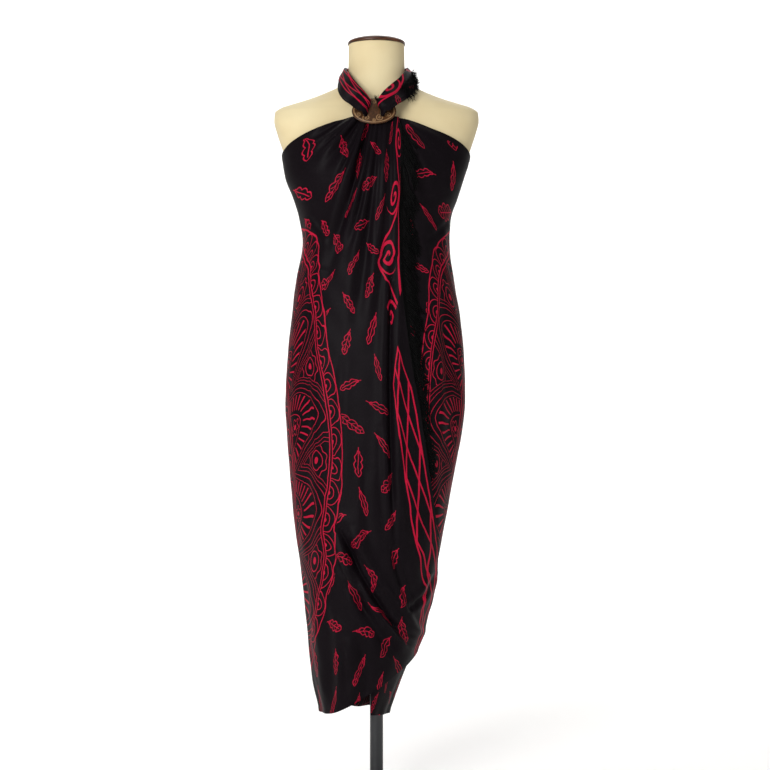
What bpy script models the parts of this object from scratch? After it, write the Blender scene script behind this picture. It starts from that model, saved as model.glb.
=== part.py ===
"""A printed sarong tied as a halter dress, on the limbless tailor's form that it is shown on.

The cloth is one rectangle, 1.15 m deep and 1.70 m long, with fringed short ends. It goes round the
back under the arms. Its two upper corners come to the front, go through the two slots of a coconut
shell buckle, pass round the neck as straps and are knotted at the nape. The short end that comes from
the wearer's right lies on top. Each stretch of cloth that shows is a wall of its own.

Metres, +Z up, +X to the right as seen from the front, and the front faces -Y. The origin is on the
floor under the pole.
"""

import math
from collections import namedtuple

import bmesh
import bpy
import numpy as np

# Driving sizes
HEM_HEIGHT = 0.150  # floor to the lowest point of the hem
TOP_HEIGHT = 1.277  # floor to the cloth's top edge behind the buckle
WALL = 0.0015  # thickness of a cloth wall
SEAM_GAP = 0.0003  # between the pieces that one cloth is divided into
FORM_GAP = 0.0020  # from the form to the middle of the cloth wall
LAYER_RISE = 0.0050  # the top layer lies this far over the under layer
COVERED_SINK = 0.0050  # the covered part of the under layer hangs this much further in
SEAM_ANGLE = 112.0  # degrees from the front to each side seam line
NECK_TOP = 1.425
BODY_BOTTOM = 0.655
POLE_RADIUS = 0.0125
BASE_RADIUS = 0.150
BASE_THICKNESS = 0.008
BUCKLE_CENTRE = (-0.0040, -0.0955, 1.2840)
BUCKLE_BREADTH = 0.082
BUCKLE_HEIGHT = 0.057
BUCKLE_THICKNESS = 0.0035
BUCKLE_TILT = 27.0  # degrees that its face leans back with the chest
SLOT_OFFSET = 0.0155
SLOT_BREADTH = 0.0085
SLOT_HEIGHT = 0.028

FormSection = namedtuple("FormSection", "height half_breadth front back squareness")
FORM_SECTIONS = [
    FormSection(0.655, 0.130, 0.076, 0.092, 2.2),
    FormSection(0.662, 0.150, 0.093, 0.109, 2.2),
    FormSection(0.690, 0.157, 0.099, 0.114, 2.2),
    FormSection(0.760, 0.160, 0.103, 0.119, 2.2),
    FormSection(0.820, 0.157, 0.105, 0.116, 2.2),
    FormSection(0.900, 0.149, 0.102, 0.101, 2.2),
    FormSection(0.980, 0.138, 0.096, 0.083, 2.2),
    FormSection(1.050, 0.129, 0.091, 0.073, 2.2),
    FormSection(1.100, 0.134, 0.093, 0.077, 2.2),
    FormSection(1.140, 0.145, 0.100, 0.084, 2.2),
    FormSection(1.170, 0.156, 0.105, 0.088, 2.2),
    FormSection(1.200, 0.170, 0.103, 0.090, 2.3),
    FormSection(1.225, 0.178, 0.094, 0.090, 2.4),
    FormSection(1.255, 0.188, 0.082, 0.088, 2.6),
    FormSection(1.280, 0.194, 0.072, 0.084, 2.8),
    FormSection(1.295, 0.193, 0.067, 0.081, 2.6),
    FormSection(1.303, 0.184, 0.064, 0.078, 2.4),
    FormSection(1.312, 0.158, 0.062, 0.075, 2.2),
    FormSection(1.322, 0.127, 0.059, 0.071, 2.0),
    FormSection(1.333, 0.098, 0.056, 0.066, 2.0),
    FormSection(1.345, 0.073, 0.053, 0.061, 2.0),
    FormSection(1.360, 0.0580, 0.0505, 0.0575, 2.0),
    FormSection(1.380, 0.0535, 0.0490, 0.0550, 2.0),
    FormSection(1.425, 0.0530, 0.0490, 0.0540, 2.0),
]
BUST_HEIGHT = 1.160
BUST_ANGLE = 31.0  # degrees from the front to the fullest point of each side
BUST_SPREAD = 20.0
BUST_DEPTH = 0.024
BUST_REACH = 0.058  # how far up and down the bust fades

WrapSection = namedtuple("WrapSection", "height left right front back")
WRAP_SECTIONS = [
    WrapSection(0.140, 0.1030, 0.0230, 0.074, 0.092),
    WrapSection(0.163, 0.1052, 0.0280, 0.076, 0.094),
    WrapSection(0.220, 0.1165, 0.0485, 0.084, 0.101),
    WrapSection(0.258, 0.1220, 0.0640, 0.090, 0.105),
    WrapSection(0.296, 0.1260, 0.0780, 0.095, 0.108),
    WrapSection(0.372, 0.1340, 0.0980, 0.103, 0.113),
    WrapSection(0.448, 0.1435, 0.1150, 0.110, 0.117),
    WrapSection(0.524, 0.1530, 0.1300, 0.115, 0.120),
    WrapSection(0.600, 0.1600, 0.1435, 0.118, 0.123),
    WrapSection(0.676, 0.1675, 0.1560, 0.120, 0.126),
    WrapSection(0.752, 0.1715, 0.1655, 0.121, 0.128),
    WrapSection(0.828, 0.1680, 0.1645, 0.121, 0.124),
    WrapSection(0.904, 0.1605, 0.1570, 0.119, 0.111),
    WrapSection(0.980, 0.1510, 0.1455, 0.117, 0.095),
    WrapSection(1.050, 0.1385, 0.1370, 0.118, 0.085),
    WrapSection(1.094, 0.1450, 0.1400, 0.123, 0.087),
    WrapSection(1.132, 0.1568, 0.1530, 0.128, 0.091),
    WrapSection(1.170, 0.1715, 0.1650, 0.128, 0.093),
    WrapSection(1.208, 0.1775, 0.1755, 0.118, 0.095),
    WrapSection(1.240, 0.1790, 0.1770, 0.103, 0.095),
    WrapSection(1.270, 0.1780, 0.1760, 0.088, 0.092),
    WrapSection(1.300, 0.1760, 0.1740, 0.075, 0.088),
]
WRAP_SQUARENESS = 2.15
GATHER_PULL = 1.45  # how strongly the cloth's lines draw together at the buckle
GATHER_FOOT = 0.930  # height where that ends
CLOTH_ROWS = 34  # the same in every layer, so that the seam lines meet all the way down

# The fringed edge of the top layer, as degrees round from the front at each height.
EdgePoint = namedtuple("EdgePoint", "height angle")
FRINGED_EDGE = [
    EdgePoint(0.150, 92.0),
    EdgePoint(0.280, 92.0),
    EdgePoint(0.400, 84.0),
    EdgePoint(0.460, 72.0),
    EdgePoint(0.520, 57.0),
    EdgePoint(0.600, 43.0),
    EdgePoint(0.680, 33.0),
    EdgePoint(0.752, 26.0),
    EdgePoint(0.850, 20.0),
    EdgePoint(0.950, 17.0),
    EdgePoint(1.100, 15.5),
    EdgePoint(1.300, 12.0),
]
UNDER_EDGE_ACROSS = -0.0085  # the under layer's own short end, straight down from the buckle

# The cloth's top edge, as its height at each angle from the front, the same on both sides.
TopPoint = namedtuple("TopPoint", "angle height")
TOP_EDGE = [
    TopPoint(0.0, TOP_HEIGHT),
    TopPoint(12.0, 1.2740),
    TopPoint(20.6, 1.2680),
    TopPoint(33.0, 1.2543),
    TopPoint(42.6, 1.2450),
    TopPoint(54.6, 1.2333),
    TopPoint(75.0, 1.2167),
    TopPoint(90.0, 1.2090),
    TopPoint(112.0, 1.2000),
    TopPoint(180.0, 1.1880),
]

# The top layer's hem, as its height at each distance across the front.
HemPoint = namedtuple("HemPoint", "across height")
OVER_HEM = [
    HemPoint(-0.1055, 0.162),
    HemPoint(-0.0850, 0.168),
    HemPoint(-0.0550, 0.183),
    HemPoint(-0.0200, 0.204),
    HemPoint(-0.0050, 0.213),
    HemPoint(0.0160, 0.227),
    HemPoint(0.0410, 0.246),
    HemPoint(0.0560, 0.255),
    HemPoint(0.0690, 0.268),
    HemPoint(0.0846, 0.284),
]
# The hems of the other two, as the height at a share of the way along each.
HemShare = namedtuple("HemShare", "share height")
UNDER_HEM = [HemShare(0.0, 0.166), HemShare(0.35, 0.162), HemShare(1.0, 0.156)]
BACK_HEM = [HemShare(0.0, 0.156), HemShare(0.5, 0.152), HemShare(1.0, 0.162)]

# Folds that pull or hang in the front, as paths through three points of the front view, in metres:
# a trough between two soft ridges. Widths and depth are in millimetres.
Fold = namedtuple("Fold", "x0 z0 x1 z1 x2 z2 width_start width_end depth")
OVER_FOLDS = [
    Fold(-0.034, 1.281, -0.075, 1.264, -0.130, 1.222, 6, 10, 4.5),
    Fold(-0.023, 1.277, -0.050, 1.236, -0.100, 1.165, 7, 12, 6.0),
    Fold(-0.009, 1.273, -0.030, 1.175, -0.098, 0.950, 7, 13, 9.0),
    Fold(-0.020, 1.150, -0.032, 1.090, -0.064, 1.000, 7, 10, 4.5),
    Fold(0.005, 1.272, -0.002, 1.120, -0.042, 0.850, 7, 14, 7.0),
    Fold(0.020, 1.270, 0.024, 1.120, 0.000, 0.840, 7, 13, 5.5),
    Fold(0.030, 1.000, 0.018, 0.760, 0.036, 0.440, 8, 10, 8.0),
    Fold(-0.060, 0.510, -0.010, 0.395, 0.082, 0.268, 13, 13, 9.5),
    Fold(-0.040, 0.410, 0.010, 0.310, 0.056, 0.244, 13, 11, 6.5),
    Fold(0.030, 0.470, 0.060, 0.400, 0.088, 0.330, 13, 12, 5.0),
    Fold(-0.090, 0.360, -0.082, 0.250, -0.078, 0.160, 13, 14, 5.0),
    Fold(-0.030, 0.320, -0.012, 0.230, -0.030, 0.180, 12, 11, 5.5),
    Fold(-0.125, 0.880, -0.138, 0.680, -0.118, 0.380, 15, 18, 4.0),
]
UNDER_FOLDS = [
    Fold(0.034, 1.282, 0.085, 1.268, 0.146, 1.232, 7, 9, 3.2),
    Fold(0.034, 1.268, 0.062, 1.215, 0.104, 1.110, 8, 13, 4.5),
    Fold(0.040, 1.190, 0.068, 1.030, 0.104, 0.850, 9, 15, 4.5),
    Fold(0.062, 1.000, 0.092, 0.790, 0.122, 0.570, 11, 15, 4.5),
    Fold(0.125, 0.930, 0.142, 0.760, 0.124, 0.560, 12, 15, 5.0),
]
PATH_STEPS = 24

# Upright flutes round the back and sides, which take up the cloth that the hem has to spare.
FLUTES = 9.0  # waves in a whole turn
FLUTE_DEPTH = 0.0085
FLUTE_TOP = 0.760
FLUTE_FADE = (62.0, 105.0)  # degrees from the front, from none to full


def through(at, knots, values):
    """A smooth curve through the knots that never overshoots them: a cubic with limited slopes."""
    knots = np.asarray(knots, float)
    values = np.asarray(values, float)
    at = np.clip(at, knots[0], knots[-1])
    step = np.diff(knots)
    slope = np.diff(values) / step
    same_way = slope[1:] * slope[:-1] > 0
    total = np.where(same_way, slope[1:] + slope[:-1], 1.0)
    inner = np.where(same_way, 2 * slope[1:] * slope[:-1] / total, 0.0)
    tangent = np.concatenate([slope[:1], inner, slope[-1:]])
    i = np.clip(np.searchsorted(knots, at, side="right") - 1, 0, len(step) - 1)
    t = (at - knots[i]) / step[i]
    rise = values[i + 1] - values[i]
    start = step[i] * tangent[i]
    end = step[i] * tangent[i + 1]
    return values[i] + t * start + t**2 * (3 * rise - 2 * start - end) + t**3 * (start + end - 2 * rise)


def column(rows, name, at, key="height"):
    """One column of a table of named rows, read smoothly at any height or share."""
    return through(at, [getattr(row, key) for row in rows], [getattr(row, name) for row in rows])


def fade(value, start, end):
    """0 before start and 1 after end, with a soft change between."""
    t = np.clip((value - start) / (end - start), 0.0, 1.0)
    return t * t * (3 - 2 * t)


def bump(value, spread):
    """1 at 0, falling away to nothing over a few spreads."""
    return np.exp(-((value / spread) ** 2))


# The form


def bust_swell(angle, height):
    """How far the bust stands out, at an angle from the front in degrees."""
    sides = bump(angle - BUST_ANGLE, BUST_SPREAD) + bump(angle + BUST_ANGLE, BUST_SPREAD)
    return BUST_DEPTH * sides * bump(height - BUST_HEIGHT, BUST_REACH)


def form_radius(angle, height):
    """Distance from the upright axis to the form's surface, at an angle from the front in degrees."""
    turn = np.radians(angle)
    breadth = column(FORM_SECTIONS, "half_breadth", height)
    front = column(FORM_SECTIONS, "front", height)
    back = column(FORM_SECTIONS, "back", height)
    power = column(FORM_SECTIONS, "squareness", height)
    depth = np.where(np.cos(turn) > 0, front, back)
    across = (np.abs(np.sin(turn)) / breadth) ** power
    along = (np.abs(np.cos(turn)) / depth) ** power
    return (across + along) ** (-1 / power) + bust_swell(angle, height)


def round_point(angle, radius, height):
    """The point at an angle from the front, in degrees, and a distance from the upright axis."""
    turn = np.radians(angle)
    return np.stack(np.broadcast_arrays(radius * np.sin(turn), -radius * np.cos(turn), height), axis=-1)


# The draped cloth


def top_edge(angle):
    """Height of the cloth's upper edge, at an angle from the front in degrees."""
    return column(TOP_EDGE, "height", np.abs((angle + 180) % 360 - 180), "angle")


def fold_depth(x, z, folds):
    """Sum of the folds' troughs and ridges at points of the front view, outwards positive, in metres."""
    total = np.zeros(np.shape(x))
    t = np.linspace(0, 1, PATH_STEPS)
    for fold in folds:
        path_x = (1 - t) ** 2 * fold.x0 + 2 * t * (1 - t) * fold.x1 + t**2 * fold.x2
        path_z = (1 - t) ** 2 * fold.z0 + 2 * t * (1 - t) * fold.z1 + t**2 * fold.z2
        away = np.hypot(x[..., None] - path_x, z[..., None] - path_z)
        nearest = away.argmin(axis=-1)
        along = nearest / (PATH_STEPS - 1)
        width = (fold.width_start + (fold.width_end - fold.width_start) * along) / 1000
        q = away.min(axis=-1) / width
        strength = fade(along, -0.12, 0.12) * (1 - fade(along, 0.62, 1.04))
        trough = (1 - q**2) * np.exp(-(q**2) / 2)
        lift = 0.40 * np.exp(-(q**2) / 5)
        total += fold.depth / 1000 * strength * (lift - trough)
    return total


def flute_depth(angle, height):
    """The upright flutes of the back and sides, deepest at the hem."""
    low = 1 - fade(height, HEM_HEIGHT, FLUTE_TOP)
    where = fade(np.abs(angle), *FLUTE_FADE)
    return FLUTE_DEPTH * low * where * np.cos(np.radians(FLUTES * angle + 14 * np.sin(6 * height)))


def layer_rise(angle):
    """The top layer leaves the ring that it shares with the back and climbs over the under layer."""
    return LAYER_RISE * fade(angle, -75.0, -18.0)


def ring_point(angle, height, out=0.0):
    """A point on the drape's plain ring at that height, moved out along the ring's own normal."""
    turn = np.radians(angle)
    left = column(WRAP_SECTIONS, "left", height)
    right = column(WRAP_SECTIONS, "right", height)
    front = column(WRAP_SECTIONS, "front", height)
    back = column(WRAP_SECTIONS, "back", height)
    breadth = (left + right) / 2
    depth = (front + back) / 2
    sine = np.sign(np.sin(turn)) * np.abs(np.sin(turn)) ** (2 / WRAP_SQUARENESS)
    cosine = np.sign(np.cos(turn)) * np.abs(np.cos(turn)) ** (2 / WRAP_SQUARENESS)
    normal_x = np.sin(turn) / breadth
    normal_y = -np.cos(turn) / depth
    length = np.hypot(normal_x, normal_y)
    x = (right - left) / 2 + breadth * sine + out * normal_x / length
    y = (back - front) / 2 - depth * cosine + out * normal_y / length
    return x, y


def angle_across(x, height):
    """The angle, in degrees, at which the front of the plain ring has that distance across."""
    left = column(WRAP_SECTIONS, "left", height)
    right = column(WRAP_SECTIONS, "right", height)
    share = (x - (right - left) / 2) * 2 / (left + right)
    sine = np.sign(share) * np.abs(share) ** (WRAP_SQUARENESS / 2)
    return np.degrees(np.arcsin(np.clip(sine, -1, 1)))


def clear_of_form(x, y, height, rise):
    """Moves a point straight out from the axis until it clears the form, with a soft corner."""
    angle = np.degrees(np.arctan2(x, -y))
    radius = np.hypot(x, y)
    least = form_radius(angle, np.maximum(height, BODY_BOTTOM)) + FORM_GAP + rise
    over = radius - least
    moved = least + 0.5 * (over + np.sqrt(over**2 + 0.003**2))
    moved = np.where(height > BODY_BOTTOM - 0.02, np.maximum(moved, radius), radius)
    return x * moved / radius, y * moved / radius


def drape(angle, height, layer):
    """The middle of the cloth wall of one layer: over, under or back."""
    x, _ = ring_point(angle, height)
    front = fade(np.cos(np.radians(angle)), -0.20, 0.15)
    out = flute_depth(angle, height)
    if layer == "over":
        out = out + front * fold_depth(x, height, OVER_FOLDS)
    if layer == "under":
        past = fade(angle - column(FRINGED_EDGE, "angle", height), -3.0, 9.0)
        covered = 0.6 * fold_depth(x, height, OVER_FOLDS)
        out = out + front * (covered + past * (fold_depth(x, height, UNDER_FOLDS) - covered))
        out = out - COVERED_SINK * (1 - past) * (1 - 0.6 * fade(height, 0.80, 1.00))
    rise = layer_rise(angle) if layer == "over" else 0.0
    x, y = ring_point(angle, height, out + rise)
    x, y = clear_of_form(x, y, height, rise)
    return np.stack([x, y, height], axis=-1)


def draped_wall(angle, height, layer):
    """Points in the middle of a layer's wall with its outward unit normals, from small steps each way."""
    angle, height = np.broadcast_arrays(angle, height)
    across = drape(angle + 0.4, height, layer) - drape(angle - 0.4, height, layer)
    upward = drape(angle, height + 0.001, layer) - drape(angle, height - 0.001, layer)
    normal = np.cross(across, upward)
    normal /= np.linalg.norm(normal, axis=-1, keepdims=True)
    return drape(angle, height, layer), normal


def spread_rows(count):
    """Shares of the way from the top edge to the hem, closer together over the bust and at the swags."""
    return through(np.linspace(0, 1, count), [0.0, 0.36, 0.60, 1.0], [0.0, 0.22, 0.58, 1.0])


def gathered(share, height):
    """Draws the grid's lines together towards the buckle, so that they fan out as the folds do."""
    climb = np.clip((height - GATHER_FOOT) / (TOP_HEIGHT - GATHER_FOOT), 0, 1)
    return share ** (1 + GATHER_PULL * climb**1.5)


def over_grid(columns, rows):
    """The top layer, from its seam on the left round the front to its fringed edge."""
    share = np.linspace(0, 1, columns) ** 0.85
    start = -SEAM_ANGLE + math.degrees(SEAM_GAP / 2 / 0.15)
    down = spread_rows(rows)[None, :]
    low = np.full(columns, 0.2)
    for _ in range(4):
        angle = start + share * (column(FRINGED_EDGE, "angle", low) - start)
        low = column(OVER_HEM, "height", drape(angle, low, "over")[:, 0], "across")
    top_angle = 12.0 + gathered(1 - share[:, None], TOP_HEIGHT) * (start - 12.0)
    top = top_edge(top_angle)
    height = top + down * (low[:, None] - top)
    edge = column(FRINGED_EDGE, "angle", height)
    angle = edge + gathered(1 - share[:, None], height) * (start - edge)
    return draped_wall(angle, height, "over")


def under_grid(columns, rows):
    """The under layer, from its hidden short end behind the buckle round to the seam on the right."""
    share = np.linspace(0, 1, columns)
    end = SEAM_ANGLE - math.degrees(SEAM_GAP / 2 / 0.15)
    hem = column(UNDER_HEM, "height", share, "share")[:, None]
    top = top_edge(gathered(share[:, None], TOP_HEIGHT) * end)
    height = top + spread_rows(rows)[None, :] * (hem - top)
    start = angle_across(UNDER_EDGE_ACROSS, height)
    angle = start + gathered(share[:, None], height) * (end - start)
    return draped_wall(angle, height, "under")


def back_grid(columns, rows):
    """The back, from the seam on the right round to the seam on the left."""
    share = np.linspace(0, 1, columns)
    gap = math.degrees(SEAM_GAP / 2 / 0.15)
    start = SEAM_ANGLE + gap
    angle = start + share[:, None] * (360 - 2 * start)
    hem = column(BACK_HEM, "height", share, "share")[:, None]
    top = top_edge(angle)
    height = top + spread_rows(rows)[None, :] * (hem - top)
    turned = np.where(angle > 180, angle - 360, angle)
    return draped_wall(turned, height, "back")


# Meshes


def wall_mesh(points, normals, thickness=WALL):
    """A closed wall of even thickness on a grid of points, as vertices and faces."""
    columns, rows = points.shape[:2]
    outer = points + normals * thickness / 2
    inner = points - normals * thickness / 2
    vertices = np.concatenate([outer.reshape(-1, 3), inner.reshape(-1, 3)])
    index = np.arange(columns * rows).reshape(columns, rows)
    a, b = index[:-1, :-1], index[1:, :-1]
    c, d = index[1:, 1:], index[:-1, 1:]
    front = np.stack([a, d, c, b], axis=-1).reshape(-1, 4)
    back = np.stack([a, b, c, d], axis=-1).reshape(-1, 4) + columns * rows
    rim = np.concatenate([index[:, 0], index[-1, 1:], index[-2::-1, -1], index[0, -2:0:-1]])
    after = np.roll(rim, -1)
    sides = np.stack([rim, after, after + columns * rows, rim + columns * rows], axis=-1)
    return vertices, np.concatenate([front, back, sides]).tolist()


def tube_mesh(rings):
    """A closed skin over rings of points, with a flat cap on the first and the last."""
    count, size = rings.shape[:2]
    index = np.arange(count * size).reshape(count, size)
    after = np.roll(index, -1, axis=1)
    sides = np.stack([index[:-1], after[:-1], after[1:], index[1:]], axis=-1).reshape(-1, 4)
    faces = sides.tolist() + [index[0, ::-1].tolist(), index[-1].tolist()]
    return rings.reshape(-1, 3), faces


def surface_finish(name, colour, roughness, metallic=0.0):
    """A plain material with the part's colour, given as sRGB from 0 to 1."""
    material = bpy.data.materials.new(name)
    material.use_nodes = True
    shader = material.node_tree.nodes["Principled BSDF"]
    shader.inputs["Base Color"].default_value = (*[c**2.2 for c in colour], 1.0)
    shader.inputs["Roughness"].default_value = roughness
    shader.inputs["Metallic"].default_value = metallic
    return material


def add_object(name, vertices, faces, material, sharp_degrees=40.0):
    """One named object from vertices and faces, with its faces turned outwards."""
    mesh = bpy.data.meshes.new(name)
    mesh.from_pydata([tuple(v) for v in np.asarray(vertices)], [], faces)
    work = bmesh.new()
    work.from_mesh(mesh)
    bmesh.ops.recalc_face_normals(work, faces=work.faces)
    work.to_mesh(mesh)
    work.free()
    mesh.shade_smooth()
    mesh.set_sharp_from_angle(angle=math.radians(sharp_degrees))
    mesh.materials.append(material)
    obj = bpy.data.objects.new(name, mesh)
    bpy.context.scene.collection.objects.link(obj)
    return obj


def turned_solid(name, profile, sides, material):
    """A solid of revolution about the upright axis, from (radius, height) points, bottom to top."""
    turn = np.arange(sides) / sides * 2 * math.pi
    rings = [np.stack([r * np.cos(turn), r * np.sin(turn), np.full(sides, z)], axis=1) for r, z in profile]
    return add_object(name, *tube_mesh(np.array(rings)), material)


# The form and its stand


def build_form(material):
    """The torso with its neck and arm stumps, one smooth skin on level rings."""
    sides = 30
    lower = [row.height for row in FORM_SECTIONS]
    angle = np.arange(sides) / sides * 360 - 180
    rings = [round_point(angle, form_radius(angle, height), height) for height in lower]
    return add_object("form_torso", *tube_mesh(np.array(rings)), material, 60.0)


def build_stand(wood, metal):
    """The wooden cap of the neck, the pole up into the body and the round plate on the floor."""
    cap_rise = 0.014
    cap_foot = NECK_TOP + SEAM_GAP
    cap = [(0.050, cap_foot), (0.0545, cap_foot + 0.001), (0.0545, cap_foot + 0.0035)]
    for step in range(1, 4):
        turn = step / 4 * math.pi / 2
        cap.append((0.0545 * math.cos(turn), cap_foot + 0.0035 + (cap_rise - 0.0035) * math.sin(turn)))
    turned_solid("neck_cap", cap, 28, wood)
    top = BODY_BOTTOM - SEAM_GAP
    flange = 0.035
    pole = [(POLE_RADIUS, BASE_THICKNESS + SEAM_GAP), (POLE_RADIUS, top - 0.006), (flange, top - 0.006), (flange, top)]
    turned_solid("stand_pole", pole, 20, metal)
    rim = 0.003
    base = [(BASE_RADIUS, 0.0), (BASE_RADIUS, BASE_THICKNESS - rim), (BASE_RADIUS - rim, BASE_THICKNESS)]
    turned_solid("stand_base", base, 40, metal)


# The buckle


def buckle_frame():
    """The buckle's centre, and its directions across, up its face and out of its face."""
    tilt = math.radians(BUCKLE_TILT)
    across = np.array([1.0, 0.0, 0.0])
    up = np.array([0.0, math.sin(tilt), math.cos(tilt)])
    out = np.array([0.0, -math.cos(tilt), math.sin(tilt)])
    return np.array(BUCKLE_CENTRE), across, up, out


def slot_outline(middle, count=16):
    """An upright slot with round ends, as points across and up the buckle's face."""
    radius = SLOT_BREADTH / 2
    turn = np.arange(count) / count * 2 * math.pi
    lift = np.where(np.sin(turn) >= 0, 1, -1) * (SLOT_HEIGHT / 2 - radius)
    return np.stack([middle + radius * np.cos(turn), radius * np.sin(turn) + lift], axis=1)


def build_buckle(material):
    """An oval of coconut shell with two slots, cut through by two hidden cutters."""
    centre, across, up, out = buckle_frame()
    sides = 40
    turn = np.arange(sides) / sides * 2 * math.pi
    rings = []
    # share of the outline's size, and height over the middle plane as a share of half the thickness
    for size, lift in ((0.94, -1.0), (1.0, -0.5), (1.0, 0.4), (0.95, 1.0), (0.80, 1.35)):
        oval = np.outer(np.cos(turn) * size * BUCKLE_BREADTH / 2, across)
        oval = oval + np.outer(np.sin(turn) * size * BUCKLE_HEIGHT / 2, up)
        rings.append(centre + oval + out * lift * BUCKLE_THICKNESS / 2)
    buckle = add_object("buckle", *tube_mesh(np.array(rings)), material)
    for number, side in enumerate((-1, 1)):
        outline = slot_outline(side * SLOT_OFFSET)
        flat = np.outer(outline[:, 0], across) + np.outer(outline[:, 1], up)
        ends = np.array([centre + flat + out * reach for reach in (-0.02, 0.02)])
        cutter = add_object(f"slot_cutter_{number}", *tube_mesh(ends), material)
        cutter.hide_render = True
        cutter.display_type = "WIRE"
        cut = buckle.modifiers.new(f"slot_{number}", "BOOLEAN")
        cut.operation = "DIFFERENCE"
        cut.object = cutter
    return buckle


# The straps, the knot and its tails

# Points down the middle of the left strap, from behind the buckle to the nape. The face vector points
# out of the strap's flat side. Half sizes are in millimetres.
Station = namedtuple("Station", "x y z face_x face_y face_z half_width half_thickness")
LEFT_STRAP = [
    Station(-0.0195, -0.0860, 1.2880, 1.00, 0.00, 0.00, 7.0, 2.6),
    Station(-0.0195, -0.0955, 1.2872, 1.00, 0.00, 0.00, 7.5, 2.9),
    Station(-0.0200, -0.1035, 1.2885, 0.92, -0.40, 0.00, 9.5, 3.1),
    Station(-0.0260, -0.1045, 1.2955, 0.25, -0.93, 0.20, 14.5, 4.0),
    Station(-0.0370, -0.0955, 1.3085, -0.15, -0.90, 0.40, 18.0, 4.2),
    Station(-0.0475, -0.0765, 1.3230, -0.45, -0.78, 0.42, 20.0, 4.4),
    Station(-0.0585, -0.0545, 1.3420, -0.68, -0.56, 0.45, 19.0, 4.5),
    Station(-0.0640, -0.0235, 1.3615, -0.86, -0.25, 0.42, 15.5, 4.6),
    Station(-0.0624, 0.0120, 1.3725, -0.92, 0.15, 0.32, 13.5, 4.6),
    Station(-0.0490, 0.0410, 1.3765, -0.72, 0.62, 0.25, 11.5, 4.6),
    Station(-0.0310, 0.0580, 1.3790, -0.40, 0.88, 0.18, 10.5, 4.6),
    Station(-0.0163, 0.0648, 1.3795, -0.10, 0.98, 0.15, 10.0, 4.6),
]
RIGHT_STRAP = [
    row._replace(x=-row.x - 0.008 * fade(1.35 - row.z, 0.0, 0.04), face_x=-row.face_x) for row in LEFT_STRAP
]
STRAP_FLUTES = 5
STRAP_SIDES = 16


def strap_rings(stations, flutes=STRAP_FLUTES, sides=STRAP_SIDES):
    """Rings of a flattened bundle of folded cloth: an oval whose thickness is fluted along its length."""
    table = np.array(stations, float)
    centre = table[:, :3]
    path = np.gradient(centre, axis=0)
    path /= np.linalg.norm(path, axis=1, keepdims=True)
    face = table[:, 3:6]
    face = face - (face * path).sum(axis=1, keepdims=True) * path
    face /= np.linalg.norm(face, axis=1, keepdims=True)
    broad = np.cross(path, face)
    turn = np.arange(sides) / sides * 2 * math.pi
    groove = 1 + 0.16 * np.cos(flutes * turn)
    across = np.cos(turn)[None, :, None] * table[:, 6, None, None] / 1000
    thick = (np.sin(turn) * groove)[None, :, None] * table[:, 7, None, None] / 1000
    return centre[:, None] + broad[:, None] * across + face[:, None] * thick


def build_straps(material):
    """Both straps, from the buckle round the neck to the knot."""
    for name, stations in (("halter_left", LEFT_STRAP), ("halter_right", RIGHT_STRAP)):
        add_object(name, *tube_mesh(strap_rings(stations)), material, 60.0)


KNOT_CENTRE = (0.0, 0.0665, 1.3795)
KNOT_HALF = (0.0160, 0.0110, 0.0145)


def build_knot(material):
    """The knot at the nape: a rounded lump whose surface winds round in three turns of cloth."""
    sides, count = 14, 8
    rings = []
    for level in range(1, count):
        lean = level / count * math.pi
        turn = np.arange(sides) / sides * 2 * math.pi
        wind = 1 + 0.10 * np.cos(3 * turn + 4 * lean)
        x = KNOT_CENTRE[0] - KNOT_HALF[0] * math.cos(lean) * np.ones(sides)
        y = KNOT_CENTRE[1] + KNOT_HALF[1] * math.sin(lean) * np.cos(turn) * wind
        z = KNOT_CENTRE[2] + KNOT_HALF[2] * math.sin(lean) * np.sin(turn) * wind
        rings.append(np.stack([x, y, z], axis=1))
    add_object("nape_knot", *tube_mesh(np.array(rings)), material, 60.0)


# The two ends of the cloth below the knot, as stations like the straps'.
TAIL_ROWS = [
    Station(0.0070, 0.0690, 1.3648, 0.05, 0.95, 0.25, 5.5, 3.0),
    Station(0.0115, 0.0790, 1.3500, 0.08, 0.95, 0.35, 8.5, 3.0),
    Station(0.0160, 0.0870, 1.3300, 0.10, 0.92, 0.30, 10.5, 2.6),
    Station(0.0210, 0.0945, 1.3050, 0.12, 0.96, 0.15, 12.5, 2.2),
    Station(0.0250, 0.0985, 1.2800, 0.12, 0.98, 0.05, 13.5, 2.0),
]


def tail_stations(side):
    """The rows of one tail. The left one is a little shorter, and the right one starts higher."""
    reach = 1.0 if side > 0 else 0.86
    start = TAIL_ROWS[0].z + (0.0012 if side > 0 else 0.0)
    return [
        row._replace(x=side * row.x, z=start + (row.z - TAIL_ROWS[0].z) * reach, face_x=side * row.face_x)
        for row in TAIL_ROWS
    ]


# Fringes


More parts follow.
